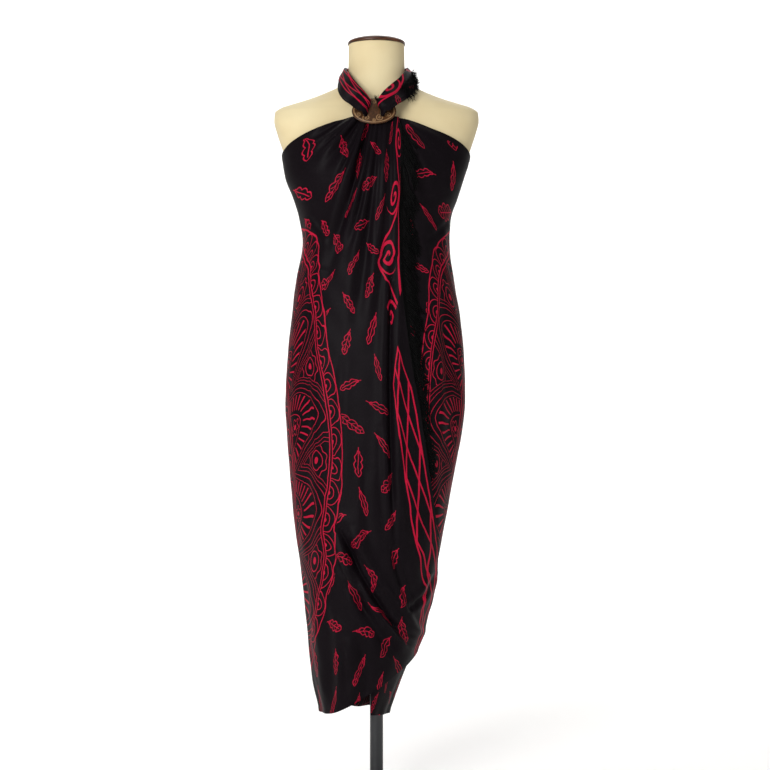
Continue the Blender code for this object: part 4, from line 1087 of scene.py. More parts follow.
def scroll_lines(tree, known):
    """Upper part of the border, e from the short end: curls where reach/pitch - angle/turn + 1/2 is whole,
    on alternate sides of a waving stem, beside a straight line. It runs out to a point."""
    work_down(tree, known, [
        ("step", "MULTIPLY", "v", 1 / SCROLL_PITCH),
        ("step_no", "FLOOR", "step"),
        ("odd", "FLOORED_MODULO", "step_no", 2.0),
        ("side", "MULTIPLY_ADD", "odd", -2.0, 1.0),
        ("curl_v", "SUBTRACT", "step", "step_no"),
        ("curl_v", "MULTIPLY_ADD", "curl_v", SCROLL_PITCH, -SCROLL_PITCH / 2),
        ("curl_e", "SUBTRACT", "e", SCROLL_MIDDLE),
        ("off", "ABSOLUTE", "curl_e"),
        ("end", "MULTIPLY_ADD", "off", 1.5, "v"),
        ("high", "LESS_THAN", "end", SCROLL_END),
        ("curl_e", "MULTIPLY", "curl_e", "side"),
        ("curl_e", "ADD", "curl_e", 0.002),
        *far_rows("reach", "curl_e", "curl_v"),
        ("curl", "ARCTAN2", "curl_v", "curl_e"),
        ("curl", "MULTIPLY", "curl", -1 / FULL_TURN),
        ("curl", "MULTIPLY_ADD", "reach", 1 / CURL_PITCH, "curl"),
        ("curl", "FRACT", "curl"),
        ("curl", "COMPARE", "curl", 0.5, 0.17),
        ("curl_end", "LESS_THAN", "reach", CURL_SIZE),
        ("stem", "MULTIPLY", "step", math.pi),
        ("stem", "SINE", "stem"),
        ("stem", "MULTIPLY_ADD", "stem", STEM_SWING, STEM_MIDDLE),
        ("stem", "SUBTRACT", "stem", "e"),
        ("stem", "COMPARE", "stem", 0.0, STEM_HALF),
        ("border", "COMPARE", "e", EDGE_LINE, EDGE_LINE_HALF),
        *kept("curl", "curl_end"),
        *joined("border", "curl", "stem"),
        *kept("border", "high"),
    ])


def net_lines(tree, known):
    """Lower part of the border: two families of slanting lines, e/mesh + v/mesh and e/mesh - v/mesh, with
    a line on each side, that start from a point."""
    work_down(tree, known, [
        ("net_e", "MULTIPLY", "e", 1 / NET_MESH[0]),
        ("net_v", "MULTIPLY", "v", 1 / NET_MESH[1]),
        ("net", "ADD", "net_e", "net_v"),
        ("net", "FRACT", "net"),
        ("net", "COMPARE", "net", 0.5, NET_LINE),
        ("other", "SUBTRACT", "net_e", "net_v"),
        ("other", "FRACT", "other"),
        ("other", "COMPARE", "other", 0.5, NET_LINE),
        ("off", "SUBTRACT", "e", NET_MIDDLE),
        ("off", "ABSOLUTE", "off"),
        ("inside", "LESS_THAN", "off", NET_HALF),
        ("side", "COMPARE", "off", NET_HALF, NET_SIDE_LINE),
        ("start", "MULTIPLY_ADD", "off", -3.0, "v"),
        ("low", "GREATER_THAN", "start", NET_START),
        ("point", "COMPARE", "start", NET_START, 0.0050),
        ("within", "LESS_THAN", "off", NET_HALF + 0.0015),
        *joined("net", "other"),
        *kept("net", "inside"),
        *joined("net", "side"),
        *kept("net", "low"),
        *kept("point", "within"),
        *joined("border", "net", "point"),
    ])


# %% [markdown]
# Rayon challis is a light, soft cloth with a slight sheen. Its threads, about 0.3 mm apart, are finer
# than a pixel, so what shows of the weave is a faint slub, drawn here as short streaks of 1 to 5 mm. The
# dye sits in the thread, so print and ground share one roughness. The reverse is the same cloth
# with the print only half through, so it looks greyer.

# %% The whole print
WOBBLE = 0.0021  # how far a line strays, as a hand-drawn one does


def print_lines(tree, flat):
    """Gives 1 where the cloth is printed and 0 elsewhere. e is the distance from the short end, and r and
    theta are the place in the round figure. All lines stray a little, by noise about 25 mm long."""
    wobble = add_node(tree, "TexNoise", {"Vector": flat, "Scale": 42.0, "Detail": 1.0}).outputs["Color"]
    wobble = add_node(tree, "VectorMath", [wobble, (0.5, 0.5, 0.5)], operation="SUBTRACT")
    wobble = add_node(tree, "VectorMath", {0: wobble, "Scale": WOBBLE}, operation="SCALE")
    drawn = add_node(tree, "VectorMath", [flat, wobble], operation="ADD")
    sides = add_node(tree, "SeparateXYZ", [drawn])
    known = {"u": sides.outputs[0], "v": sides.outputs[1]}
    work_down(tree, known, [
        ("e", "ABSOLUTE", "u"),
        ("e", "SUBTRACT", EDGE_U, "e"),
        ("figure_v", "SUBTRACT", "v", PRINT_CENTRE_V),
        ("figure_u", "MULTIPLY", "u", PRINT_STRETCH),
        *far_rows("r", "figure_u", "figure_v"),
        ("theta", "ARCTAN2", "figure_v", "figure_u"),
    ])
    leaf_lines(tree, known)
    figure_lines(tree, known)
    scroll_lines(tree, known)
    net_lines(tree, known)
    work_down(tree, known, [
        ("on_border", "LESS_THAN", "e", BORDER - 0.003),
        *kept("border", "on_border"),
        *joined("print", "border"),
    ])
    return known["print"]


# %% Printed rayon
def make_rayon(name, ground, ground_light, ink, ink_light, depth):
    """Printed rayon: ground and ink, each a little uneven, mixed where the print's lines run."""
    material, tree, shader = new_material(name)
    flat = add_node(tree, "UVMap", uv_map="Cloth").outputs[0]
    printed = print_lines(tree, flat)
    slub_place = add_node(tree, "Mapping", {"Vector": flat, "Scale": (900.0, 220.0, 1.0)})
    slub = add_node(tree, "TexNoise", {"Vector": slub_place, "Scale": 1.0, "Detail": 2.0})
    patch = add_node(tree, "TexNoise", {"Vector": flat, "Scale": 11.0, "Detail": 3.0})
    uneven = add_node(tree, "Math", [patch, 0.5, slub], operation="MULTIPLY_ADD")
    dark = add_node(tree, "ValToRGB", [uneven], [(0.45, ground), (1.0, ground_light)])
    red = add_node(tree, "ValToRGB", [uneven], [(0.45, ink), (1.0, ink_light)])
    amount = add_node(tree, "Math", [printed, depth], operation="MULTIPLY")
    tint = add_node(tree, "Mix", {0: amount, 6: dark, 7: red}, data_type="RGBA")
    relief = add_node(tree, "Bump", {"Strength": 0.25, "Distance": 0.0004, "Height": slub.outputs[0]})
    finish_shader(tree, shader, Base_Color=tint.outputs[2], Roughness=0.5, Normal=relief)
    finish_shader(tree, shader, Sheen_Weight=0.012, Sheen_Roughness=0.35, Specular_IOR_Level=0.05)
    finish_shader(tree, shader, Sheen_Tint=linear("#B9A9A6"))
    return material


rayon = make_rayon("printed rayon", "#090508", "#110C10", "#980D2B", "#B21535", 1.0)
rayon_reverse = make_rayon("printed rayon reverse", "#1D191A", "#2C2627", "#70323D", "#85414B", 0.7)
print("print worked out with", len(rayon.node_tree.nodes), "nodes")

# %% [markdown]
# ## The cloth
#
# Real rayon is about 0.2 mm thick. A wall of 0.7 mm still looks thin and lets light behave at the
# edge, and both long sides get a narrow turned hem, where three layers lie on each other. Each layer
# is one closed wall on its grid, with the flat place of each point in its UV map.

# %% Walls of cloth
CLOTH_WALL = 0.0007
HEM_WALL = 0.0017
HEM_BREADTH = 0.006


def cloth_wall(angle, height, flat_u, layer):
    """A wall on the grid: each point moved half the thickness out and in along its normal. The wall is
    thicker over the hems' breadth. Gives vertices, faces, UVs, normals and how many faces lie inside."""
    points, normals = draped_wall(angle, height, layer)
    steps = np.linalg.norm(np.diff(points, axis=1), axis=-1)
    down = np.concatenate([np.zeros((len(points), 1)), np.cumsum(steps, axis=1)], axis=1)
    near_hem = np.minimum(down, down[:, -1:] - down)
    thick = CLOTH_WALL + (HEM_WALL - CLOTH_WALL) * (1 - fade(near_hem, HEM_BREADTH, HEM_BREADTH + 0.0015))
    shift = normals * thick[..., None] / 2
    columns, rows = down.shape
    vertices = np.concatenate([points + shift, points - shift]).reshape(-1, 3)
    index = np.arange(columns * rows).reshape(columns, rows)
    a, b, c, d = index[:-1, :-1], index[1:, :-1], index[1:, 1:], index[:-1, 1:]
    outer = np.stack([a, d, c, b], axis=-1).reshape(-1, 4)
    inner = np.stack([a, b, c, d], axis=-1).reshape(-1, 4) + columns * rows
    rim = np.concatenate([index[:, 0], index[-1, 1:], index[-2::-1, -1], index[0, -2:0:-1]])
    after = np.roll(rim, -1)
    sides = np.stack([rim, after, after + columns * rows, rim + columns * rows], axis=-1)
    uv = np.stack([flat_u, down], axis=-1).reshape(-1, 2)
    both = np.concatenate([normals.reshape(-1, 3), -normals.reshape(-1, 3)])
    faces = np.concatenate([outer, sides, inner]).tolist()
    return vertices, faces, np.concatenate([uv, uv]), both, len(inner), (points, normals)


def hang_cloth(name, grid, layer, replaced):
    """Adds one layer of the wrap and gives it back with the middle surface that it was made on."""
    vertices, faces, uv, normals, inner, surface = cloth_wall(*grid, layer)
    materials = [rayon, rayon_reverse]
    piece = add_piece(name, vertices, faces, materials, [replaced], "printed_rayon", uv, normals, inner)
    return piece, surface


fine = 1.0
front_size = int(192 * fine), int(256 * fine)
side_size = int(110 * fine), int(256 * fine)
sarong_over, over_surface = hang_cloth("sarong_over", over_grid(*front_size), "over", "wrap_over")
sarong_under, _ = hang_cloth("sarong_under", under_grid(*side_size), "under", "wrap_under")
sarong_back, _ = hang_cloth("sarong_back", back_grid(*side_size), "back", "wrap_back")

# %% [markdown]
# ## The buckle
#
# A sarong buckle is a slice of coconut shell, cut to an oval, pierced with two slots, then carved and
# oiled. It is a plate on rings of an oval, whose face is lowered along carved curls, and the
# two slots are cut through it. The carving is kept as a number at each point as well, so that the
# grooves can be paler, as they are where the pale inner shell shows and polish has gathered.

# %% Coconut shell
def make_coconut_shell():
    """Oiled coconut shell: hard, brown with darker flecks, glossy on the high parts and pale in the cuts."""
    material, tree, shader = new_material("coconut shell")
    place = add_node(tree, "TexCoord").outputs["Object"]
    cut = add_node(tree, "Attribute", attribute_name="carving").outputs["Fac"]
    streaks = add_node(tree, "Mapping", {"Vector": place, "Scale": (500, 500, 120)})
    figure = add_node(tree, "TexNoise", {"Vector": streaks, "Scale": 1.0, "Detail": 4.0})
    patch = add_node(tree, "TexNoise", {"Vector": place, "Scale": 70.0, "Detail": 3.0})
    uneven = add_node(tree, "Math", [patch.outputs[0], 0.7, figure.outputs[0]], operation="MULTIPLY_ADD")
    brown = add_node(tree, "ValToRGB", [uneven], [(0.55, "#201207"), (1.0, "#4C2F19")])
    tint = add_node(tree, "Mix", {0: cut, 6: brown, 7: linear("#9A7852")}, data_type="RGBA")
    gloss = add_node(tree, "MapRange", {"Value": cut, "To Min": 0.36, "To Max": 0.62})
    relief = add_node(tree, "Bump", {"Strength": 0.25, "Distance": 0.0002, "Height": figure.outputs[0]})
    finish_shader(tree, shader, Base_Color=tint.outputs[2], Roughness=gloss, Normal=relief)
    finish_shader(tree, shader, Specular_IOR_Level=0.3)
    return material


# %% Buckle
BUCKLE_CENTRE = (-0.0040, -0.0955, 1.2840)
BUCKLE_BREADTH = 0.082
BUCKLE_HEIGHT = 0.057
BUCKLE_THICKNESS = 0.0035
BUCKLE_TILT = 27.0
SLOT_OFFSET = 0.0155
SLOT_BREADTH = 0.0085
SLOT_HEIGHT = 0.028
CUT_REACH = 0.020
CARVE_DEPTH = 0.0006
GROOVE_PLACE = 0.91  # of the oval's size, where a groove follows the rim
GROOVE_SPREAD = 0.022
CURL_SPREAD = 0.0007
Curl = namedtuple("Curl", "x y pitch size way")
CURLS = [
    Curl(-0.0140, -0.0165, 0.0044, 0.0076, 1),
    Curl(0.0110, -0.0160, 0.0044, 0.0076, -1),
    Curl(-0.0005, -0.0215, 0.0030, 0.0036, 1),
    Curl(0.0265, -0.0100, 0.0036, 0.0056, 1),
    Curl(-0.0290, -0.0085, 0.0036, 0.0056, -1),
    Curl(0.0300, 0.0065, 0.0034, 0.0050, -1),
    Curl(-0.0310, 0.0070, 0.0034, 0.0050, 1),
    Curl(0.0, 0.0195, 0.0036, 0.0052, 1),
]

tilt = math.radians(BUCKLE_TILT)
ACROSS = np.array([1.0, 0.0, 0.0])
UP = np.array([0.0, math.sin(tilt), math.cos(tilt)])
OUT = np.array([0.0, -math.cos(tilt), math.sin(tilt)])


def carving(x, y):
    """How deep each point of the face is cut, 0 to 1: curls where distance/pitch less the angle's share of
    a turn is whole, and a groove that follows the rim."""
    share = np.hypot(x / (BUCKLE_BREADTH / 2), y / (BUCKLE_HEIGHT / 2))
    deep = bump(share - GROOVE_PLACE, GROOVE_SPREAD)
    for curl in CURLS:
        from_x = x - curl.x
        from_y = y - curl.y
        reach = np.hypot(from_x, from_y)
        wound = reach / curl.pitch - curl.way * np.arctan2(from_y, from_x) / FULL_TURN
        near = np.abs(wound - np.round(wound)) * curl.pitch
        deep = np.maximum(deep, bump(near, CURL_SPREAD) * (reach < curl.size))
    return deep


def buckle_rings(sides):
    """Rings from the middle of the back, round the rim and in to the middle of the face. The face rises
    to 1.35 half thicknesses at 0.8 of its size, and is lowered by its carving."""
    turn = full_turn(sides)
    back = [(size, -1.0) for size in (0.02, 0.4, 0.8, 0.94)]
    rim = [(0.975, -0.88), (0.995, -0.6), (1.0, -0.2), (0.998, 0.3), (0.985, 0.7), (0.955, 1.0)]
    face = [(size, 1.0 + 0.35 * fade(0.955 - size, 0.0, 0.155)) for size in np.linspace(0.935, 0.02, 46)]
    size, lift = np.array(back + rim + face).T
    x = np.outer(size, np.cos(turn)) * BUCKLE_BREADTH / 2
    y = np.outer(size, np.sin(turn)) * BUCKLE_HEIGHT / 2
    on_face = (np.arange(len(size)) >= len(back) + len(rim))[:, None]
    cut = carving(x, y) * on_face
    z = lift[:, None] * BUCKLE_THICKNESS / 2 - cut * CARVE_DEPTH
    centre = np.array(BUCKLE_CENTRE)
    points = centre + x[..., None] * ACROSS + y[..., None] * UP + z[..., None] * OUT
    return points, cut


def slot_cutter(middle, sides=48):
    """An upright slot with round ends, carried through the plate along its face's direction."""
    radius = SLOT_BREADTH / 2
    turn = full_turn(sides)
    lift = np.where(np.sin(turn) >= 0, 1, -1) * (SLOT_HEIGHT / 2 - radius)
    flat = np.outer(middle + radius * np.cos(turn), ACROSS) + np.outer(radius * np.sin(turn) + lift, UP)
    ends = [np.array(BUCKLE_CENTRE) + flat + OUT * reach for reach in (-CUT_REACH, CUT_REACH)]
    vertices, faces = skin(np.array(ends))
    mesh = bpy.data.meshes.new("slot_cutter")
    mesh.from_pydata(vertices.tolist(), [], faces)
    cutter = bpy.data.objects.new("slot_cutter", mesh)
    bpy.context.scene.collection.objects.link(cutter)
    return cutter


def cut_slots(piece):
    """Cuts both slots through the plate and keeps the result as the piece's own mesh."""
    cutters = [slot_cutter(side * SLOT_OFFSET) for side in (-1, 1)]
    for cutter in cutters:
        cut = piece.modifiers.new("slot", "BOOLEAN")
        cut.object = cutter
    graph = bpy.context.evaluated_depsgraph_get()
    finished = bpy.data.meshes.new_from_object(piece.evaluated_get(graph))
    piece.modifiers.clear()
    piece.data = finished
    finished.set_sharp_from_angle(angle=math.radians(50))
    for cutter in cutters:
        bpy.data.objects.remove(cutter)


rings, cut = buckle_rings(168)
vertices, faces = skin(rings)
buckle = add_piece("coconut_buckle", vertices, faces, [make_coconut_shell()], ["buckle"], "coconut_shell")
depth = buckle.data.attributes.new("carving", "FLOAT", "POINT")
depth.data.foreach_set("value", cut.ravel().astype(np.float32))
cut_slots(buckle)

# %% [markdown]
# ## Straps, knot and tails
#
# Each strap is a corner of the cloth, gathered to a bundle of folds some 40 mm wide. A flat ribbon would
# look too thin, so each is an oval bundle carried along a path, with its width and thickness at
# every station, and its outside is fluted and creased along its length, because that is how gathered
# cloth lies.

# %% Stations
Station = namedtuple("Station", "x y z face_x face_y face_z half_width half_thickness")
LEFT_STRAP = [
    Station(-0.0195, -0.0860, 1.2850, 1.00, 0.00, 0.00, 11.5, 3.6),
    Station(-0.0195, -0.0955, 1.2842, 1.00, 0.00, 0.00, 13.3, 4.1),
    Station(-0.0192, -0.1035, 1.2872, 0.86, -0.50, 0.00, 14.5, 4.0),
    Station(-0.0232, -0.1048, 1.2942, 0.25, -0.93, 0.20, 17.5, 4.0),
    Station(-0.0352, -0.0960, 1.3085, -0.15, -0.90, 0.40, 19.0, 4.2),
    Station(-0.0475, -0.0765, 1.3230, -0.45, -0.78, 0.42, 20.0, 4.4),
    Station(-0.0585, -0.0545, 1.3420, -0.68, -0.56, 0.45, 19.0, 4.5),
    Station(-0.0640, -0.0235, 1.3615, -0.86, -0.25, 0.42, 15.5, 4.6),
    Station(-0.0624, 0.0120, 1.3725, -0.92, 0.15, 0.32, 13.5, 4.6),
    Station(-0.0490, 0.0410, 1.3765, -0.72, 0.62, 0.25, 11.5, 4.6),
    Station(-0.0310, 0.0580, 1.3790, -0.40, 0.88, 0.18, 10.5, 4.6),
    Station(-0.0163, 0.0648, 1.3795, -0.10, 0.98, 0.15, 10.0, 4.6),
]
SLOT_SHIFT = 0.008  # the buckle sits half of this to the left, which the right strap follows
RIGHT_STRAP = [
    row._replace(x=-row.x - SLOT_SHIFT * fade(1.35 - row.z, 0.0, 0.04), face_x=-row.face_x)
    for row in LEFT_STRAP
]
TAIL_ROWS = [
    Station(0.0070, 0.0690, 1.3648, 0.05, 0.95, 0.25, 5.5, 3.0),
    Station(0.0115, 0.0790, 1.3500, 0.08, 0.95, 0.35, 8.5, 3.0),
    Station(0.0160, 0.0870, 1.3300, 0.10, 0.92, 0.30, 10.5, 2.6),
    Station(0.0210, 0.0945, 1.3050, 0.12, 0.96, 0.15, 12.5, 2.2),
    Station(0.0250, 0.0985, 1.2800, 0.12, 0.98, 0.05, 13.5, 2.0),
]


def tail_stations(side):
    """One tail's rows. The left one is a little shorter, and the right one starts 1.2 mm higher."""
    reach = 1.0 if side > 0 else 0.86
    start = TAIL_ROWS[0].z + (0.0012 if side > 0 else 0.0)
    return [
        row._replace(x=side * row.x, z=start + (row.z - TAIL_ROWS[0].z) * reach, face_x=side * row.face_x)
        for row in TAIL_ROWS
    ]


# %% Bundles
FLUTE_RISE = 0.16
STRAP_CREASES = 9
Bundle = namedtuple("Bundle", "name replaced stations flutes count sides seed place_u place_v pull")
BUNDLES = [
    Bundle("halter_strap_left", "halter_left", LEFT_STRAP, 5, 150, 96, 3, EDGE_U - 0.047, 0.520, -2.2),
    Bundle("halter_strap_right", "halter_right", RIGHT_STRAP, 5, 150, 96, 8, EDGE_U - 0.085, 0.210, 2.2),
    Bundle("tail_cloth_left", "tail_left", tail_stations(-1), 4, 70, 72, 5, 0.55, 0.06, 2.2),
    Bundle("tail_cloth_right", "tail_right", tail_stations(1), 4, 70, 72, 6, 0.63, 0.20, 2.2),
]


def unit(vectors):
    """Each vector divided by its length."""
    return vectors / np.linalg.norm(vectors, axis=-1, keepdims=True)


def strap_grooves(bundle, turn, share):
    """How thick a bundle is all round and along it: 1 + 0.16 cos(flutes a), less creases
    exp(-(angle from the crease / spread)^2) that wander as they run."""
    draw = np.random.default_rng(bundle.seed)
    groove = 1 + FLUTE_RISE * np.cos(bundle.flutes * turn)[None, :] * np.ones_like(share)
    for _ in range(STRAP_CREASES):
        wander = draw.uniform(0, FULL_TURN) + draw.uniform(-0.9, 0.9) * share
        wander = wander + draw.uniform(0.05, 0.25) * np.sin(share * draw.uniform(4, 9) + draw.uniform(0, 6))
        off = np.abs((turn[None, :] - wander + math.pi) % FULL_TURN - math.pi)
        reach = fade(share, draw.uniform(-0.2, 0.3), draw.uniform(0.3, 0.5))
        groove = groove - draw.uniform(0.10, 0.24) * reach * bump(off, draw.uniform(0.07, 0.14))
    return groove


def bundle_rings(bundle):
    """An oval carried along the stations and thickened by its grooves. Gives the rings, and each
    point's distance across and along the cloth."""
    table = np.array(bundle.stations, float)
    at = np.linspace(0, len(table) - 1, bundle.count)
    rows = np.stack([through(at, np.arange(len(table)), values) for values in table.T], axis=1)
    centre = rows[:, :3]
    path = unit(np.gradient(centre, axis=0))
    face = rows[:, 3:6]
    face = unit(face - (face * path).sum(axis=1, keepdims=True) * path)
    broad = np.cross(face, path)
    turn = full_turn(bundle.sides)
    groove = strap_grooves(bundle, turn, np.linspace(0, 1, bundle.count)[:, None])
    half_width = rows[:, 6, None] / 1000
    half_thick = rows[:, 7, None] / 1000
    edge = 1 - 0.05 * (1 - np.minimum(groove, 1.0)) * np.abs(np.cos(turn))
    across = np.cos(turn)[None, :] * half_width * edge
    thick = np.sin(turn)[None, :] * groove * half_thick
    rings = centre[:, None] + broad[:, None] * across[..., None] + face[:, None] * thick[..., None]
    steps = np.linalg.norm(np.diff(centre, axis=0), axis=1)
    along = np.concatenate([[0.0], np.cumsum(steps)])[:, None] * np.ones(bundle.sides)
    return rings, across, along


def add_bundle(bundle):
    """Adds one bundle and gives its rings. Its cloth is gathered across, so the flat place of each point
    is U = place_u + pull * across and V = place_v + along."""
    rings, across, along = bundle_rings(bundle)
    uv = np.stack([bundle.place_u + bundle.pull * across, bundle.place_v + along], axis=-1).reshape(-1, 2)
    add_piece(bundle.name, *skin(rings), [rayon], [bundle.replaced], "printed_rayon", uv, sharp=60)
    return rings


_, right_rings, left_tail_rings, right_tail_rings = [add_bundle(bundle) for bundle in BUNDLES]

# %% Knot
KNOT_CENTRE = (0.0, 0.0665, 1.3795)
KNOT_HALF = (0.0160, 0.0110, 0.0145)


def knot_rings(count, sides):
    """An egg-shaped lump whose radius is times 1 + 0.10 cos(3a + 4b), for the three turns of cloth that
    wind round it, and times 0.955 + 0.045 |sin(6a + 8b)|^0.5, for finer creases beside each turn."""
    lean = (np.arange(1, count) / count * math.pi)[:, None]
    turn = full_turn(sides)[None, :]
    creases = 0.955 + 0.045 * np.abs(np.sin(6 * turn + 8 * lean)) ** 0.5
    wind = (1 + 0.10 * np.cos(3 * turn + 4 * lean)) * creases
    x = KNOT_CENTRE[0] - KNOT_HALF[0] * np.cos(lean) * np.ones_like(turn)
    y = KNOT_CENTRE[1] + KNOT_HALF[1] * np.sin(lean) * np.cos(turn) * wind
    z = KNOT_CENTRE[2] + KNOT_HALF[2] * np.sin(lean) * np.sin(turn) * wind
    flat_u = 0.56 + turn / FULL_TURN * 0.05 + 0 * lean
    flat_v = 0.1 + lean * 0.012 + 0 * turn
    return np.stack([x, y, z], axis=-1), np.stack([flat_u, flat_v], axis=-1).reshape(-1, 2)


rings, uv = knot_rings(48, 96)
add_piece("knot_cloth", *skin(rings), [rayon], ["nape_knot"], "printed_rayon", uv)

# %% [markdown]
# ## Fringe
#
# The fringe is the cloth's own warp, left unwoven at the short ends and twisted into thin strands. Hair
# particles would not reach the exported meshes, so each strand is a thin tube with four sides.
# All strands of one fringe are worked out as one array: a root, a direction, a droop and
# a slight wave.

# %% Strands
def make_fringe():
    """Twisted rayon ends: black with a soft sheen, each strand a little lighter or darker."""
    material, tree, shader = new_material("twisted rayon ends")
    place = add_node(tree, "TexCoord").outputs["Object"]
    along = add_node(tree, "Mapping", {"Vector": place, "Scale": (420, 420, 60)})
    strand = add_node(tree, "TexNoise", {"Vector": along, "Scale": 1.0, "Detail": 2.0})
    tint = add_node(tree, "ValToRGB", [strand], [(0.40, "#020202"), (0.75, "#0B0A0B")])
    relief = add_node(tree, "Bump", {"Strength": 0.3, "Distance": 0.0003, "Height": strand.outputs[0]})
    finish_shader(tree, shader, Base_Color=tint, Roughness=0.6, Normal=relief)
    finish_shader(tree, shader, Sheen_Weight=0.01, Sheen_Roughness=0.4, Specular_IOR_Level=0.05)
    return material


STRAND_SIDES = 4
STRAND_TIP = 0.45  # breadth of a strand's tip over that of its root
SKEW = [0.31, 0.87, 0.38]  # no strand runs this way, so a strand's sides can be set out from it


def strand_tubes(paths, radius):
    """Thin tubes along many paths at once, n strands by k points, each narrowing to its tip."""
    path = unit(np.gradient(paths, axis=1))
    aside = unit(np.cross(path, SKEW))
    other = np.cross(path, aside)
    turn = full_turn(STRAND_SIDES)
    size = radius * np.linspace(1.0, STRAND_TIP, paths.shape[1])[None, :, None, None]
    ring = aside[:, :, None] * np.cos(turn)[:, None] + other[:, :, None] * np.sin(turn)[:, None]
    rings = paths[:, :, None] + size * ring
    strands, points = paths.shape[:2]
    index = np.arange(strands * points * STRAND_SIDES).reshape(strands, points, STRAND_SIDES)
    after = np.roll(index, -1, axis=2)
    walls = np.stack([index[:, :-1], after[:, :-1], after[:, 1:], index[:, 1:]], axis=-1).reshape(-1, 4)
    ends = np.concatenate([index[:, 0, ::-1], index[:, -1]])
    return rings.reshape(-1, 3), np.concatenate([walls, ends]).tolist()


def wavy(roots, aims, lengths, droop, wave, count, draw):
    """Strand paths: root + aim * reach + down * droop * reach^2, with a wave that grows to the tip."""
    share = np.linspace(0, 1, count)[None, :, None]
    reach = share * lengths[:, None, None]
    phase = draw.uniform(0, FULL_TURN, (len(roots), 1, 1))
    waves = draw.uniform(0.8, 1.9, (len(roots), 1, 1))
    aside = unit(np.cross(aims, [0.2, -0.9, 0.3]))[:, None]
    swing = aside * np.sin(share * waves * FULL_TURN + phase) * share * wave
    fall = np.array([0.0, 0.0, -1.0]) * droop * (reach / lengths.mean()) ** 2
    return roots[:, None] + aims[:, None] * reach + swing + fall


fringe_thread = make_fringe()

# %% [markdown]
# The long fringe starts on the top layer's edge and lies on the under layer. Its strands are lifted
# to that surface: a table of the under layer's distance from the axis, by height and direction, is read
# between its rows, so no strand sinks into the cloth.

# %% Edge fringe
EDGE_STRANDS = 1100
EDGE_STRAND_RADIUS = 0.0010
CLUMP = 9  # strands that lean alike
STRAND_POINTS = 9
FRINGE_LENGTH = 0.060
FRINGE_TOP = 1.262
FRINGE_END = 0.640
LEAST_LIFT = 0.0012


def between_rows(table, row, place):
    """A table read between its rows and columns: the two nearest values each way, weighted by share."""
    row = np.clip(row, 0, table.shape[0] - 1.001)
    place = np.clip(place, 0, table.shape[1] - 1.001)
    i, j = row.astype(int), place.astype(int)
    a, b = row - i, place - j
    low = table[i, j] * (1 - b) + table[i, j + 1] * b
    high = table[i + 1, j] * (1 - b) + table[i + 1, j + 1] * b
    return low * (1 - a) + high * a


def under_radius(point):
    """The under layer's distance from the axis in each point's direction, read from a table of it."""
    heights = np.linspace(0.55, 1.28, 150)
    turns = np.linspace(-4.0, 100.0, 210)
    angles = np.linspace(-12.0, 111.0, 160)
    surface = drape(angles[None, :], np.repeat(heights[:, None], len(angles), axis=1), "under")
    seen = np.degrees(np.arctan2(surface[..., 0], -surface[..., 1]))
    far = np.hypot(surface[..., 0], surface[..., 1])
    table = np.stack([np.interp(turns, seen_row, far_row) for seen_row, far_row in zip(seen, far)])
    turn = np.degrees(np.arctan2(point[..., 0], -point[..., 1]))
    row = (point[..., 2] - heights[0]) / (heights[1] - heights[0])
    return between_rows(table, row, (turn - turns[0]) / (turns[1] - turns[0]))


def laid_on_cloth(paths, lift):
    """Moves strands out from the axis so that they lie over the under layer by that lift, more and more
    from the root on, and nowhere sink into it."""
    share = np.linspace(0, 1, paths.shape[1])[None, :]
    turn = np.arctan2(paths[..., 0], -paths[..., 1])
    cloth = under_radius(paths)
    keep = 1 - fade(share, 0.02, 0.30)
    far = np.hypot(paths[..., 0], paths[..., 1]) * keep + (cloth + lift) * (1 - keep)
    far = np.maximum(far, cloth + LEAST_LIFT)
    return np.stack([far * np.sin(turn), -far * np.cos(turn), paths[..., 2]], axis=-1)


def edge_fringe_paths():
    """Strands from the fringed edge, down and away from it by 10 to 50 degrees, in small clumps."""
    draw = np.random.default_rng(31)
    points, normals = over_surface
    edge, outward = points[-1], normals[-1]
    height = np.linspace(FRINGE_TOP, FRINGE_END, EDGE_STRANDS)
    root = np.stack([np.interp(-height, -edge[:, 2], values) for values in edge.T], axis=1)
    face = np.stack([np.interp(-height, -edge[:, 2], values) for values in outward.T], axis=1)
    down = unit(np.gradient(root, axis=0))
    aside = unit(np.cross(down, face))
    aside *= np.sign(aside[:, :1])
    share = np.linspace(0, 1, EDGE_STRANDS)
    clump = np.arange(EDGE_STRANDS) // CLUMP
    clumps = clump.max() + 1
    slant = 22 + 15 * bump(share - 0.42, 0.30) + draw.uniform(-9, 9, clumps)[clump]
    slant = np.radians(slant + draw.uniform(-4, 4, EDGE_STRANDS))
    length = FRINGE_LENGTH + draw.uniform(-0.015, 0.010, clumps)[clump]
    length = (length + draw.uniform(-0.004, 0.004, EDGE_STRANDS)) * (1 - 0.35 * share)
    aim = np.cos(slant)[:, None] * down + np.sin(slant)[:, None] * aside
    paths = wavy(root, aim, length, 0.004, 0.0016, STRAND_POINTS, draw)
    arch = np.sin(np.linspace(0, 1, STRAND_POINTS)[None, :] * math.pi * 0.8)
    return laid_on_cloth(paths, 0.0024 + draw.uniform(0, 0.0034, (EDGE_STRANDS, 1)) * arch)


threads = strand_tubes(edge_fringe_paths(), EDGE_STRAND_RADIUS)
add_piece("edge_fringe_threads", *threads, [fringe_thread], ["edge_fringe"], "rayon_fringe")

# %% Fringe beside the neck
THREAD_RADIUS = 0.0005
TUFT_STRANDS = 330
TUFT_PLACE = (0.49, 0.71)  # shares of the right strap's length
WISP_STRANDS = 18


def low_corner(rings, row):
    """Which of a ring's two far corners is the lower one: 0, or half the number of its points."""
    half = rings.shape[1] // 2
    return 0 if rings[row, 0, 2] < rings[row, half, 2] else half


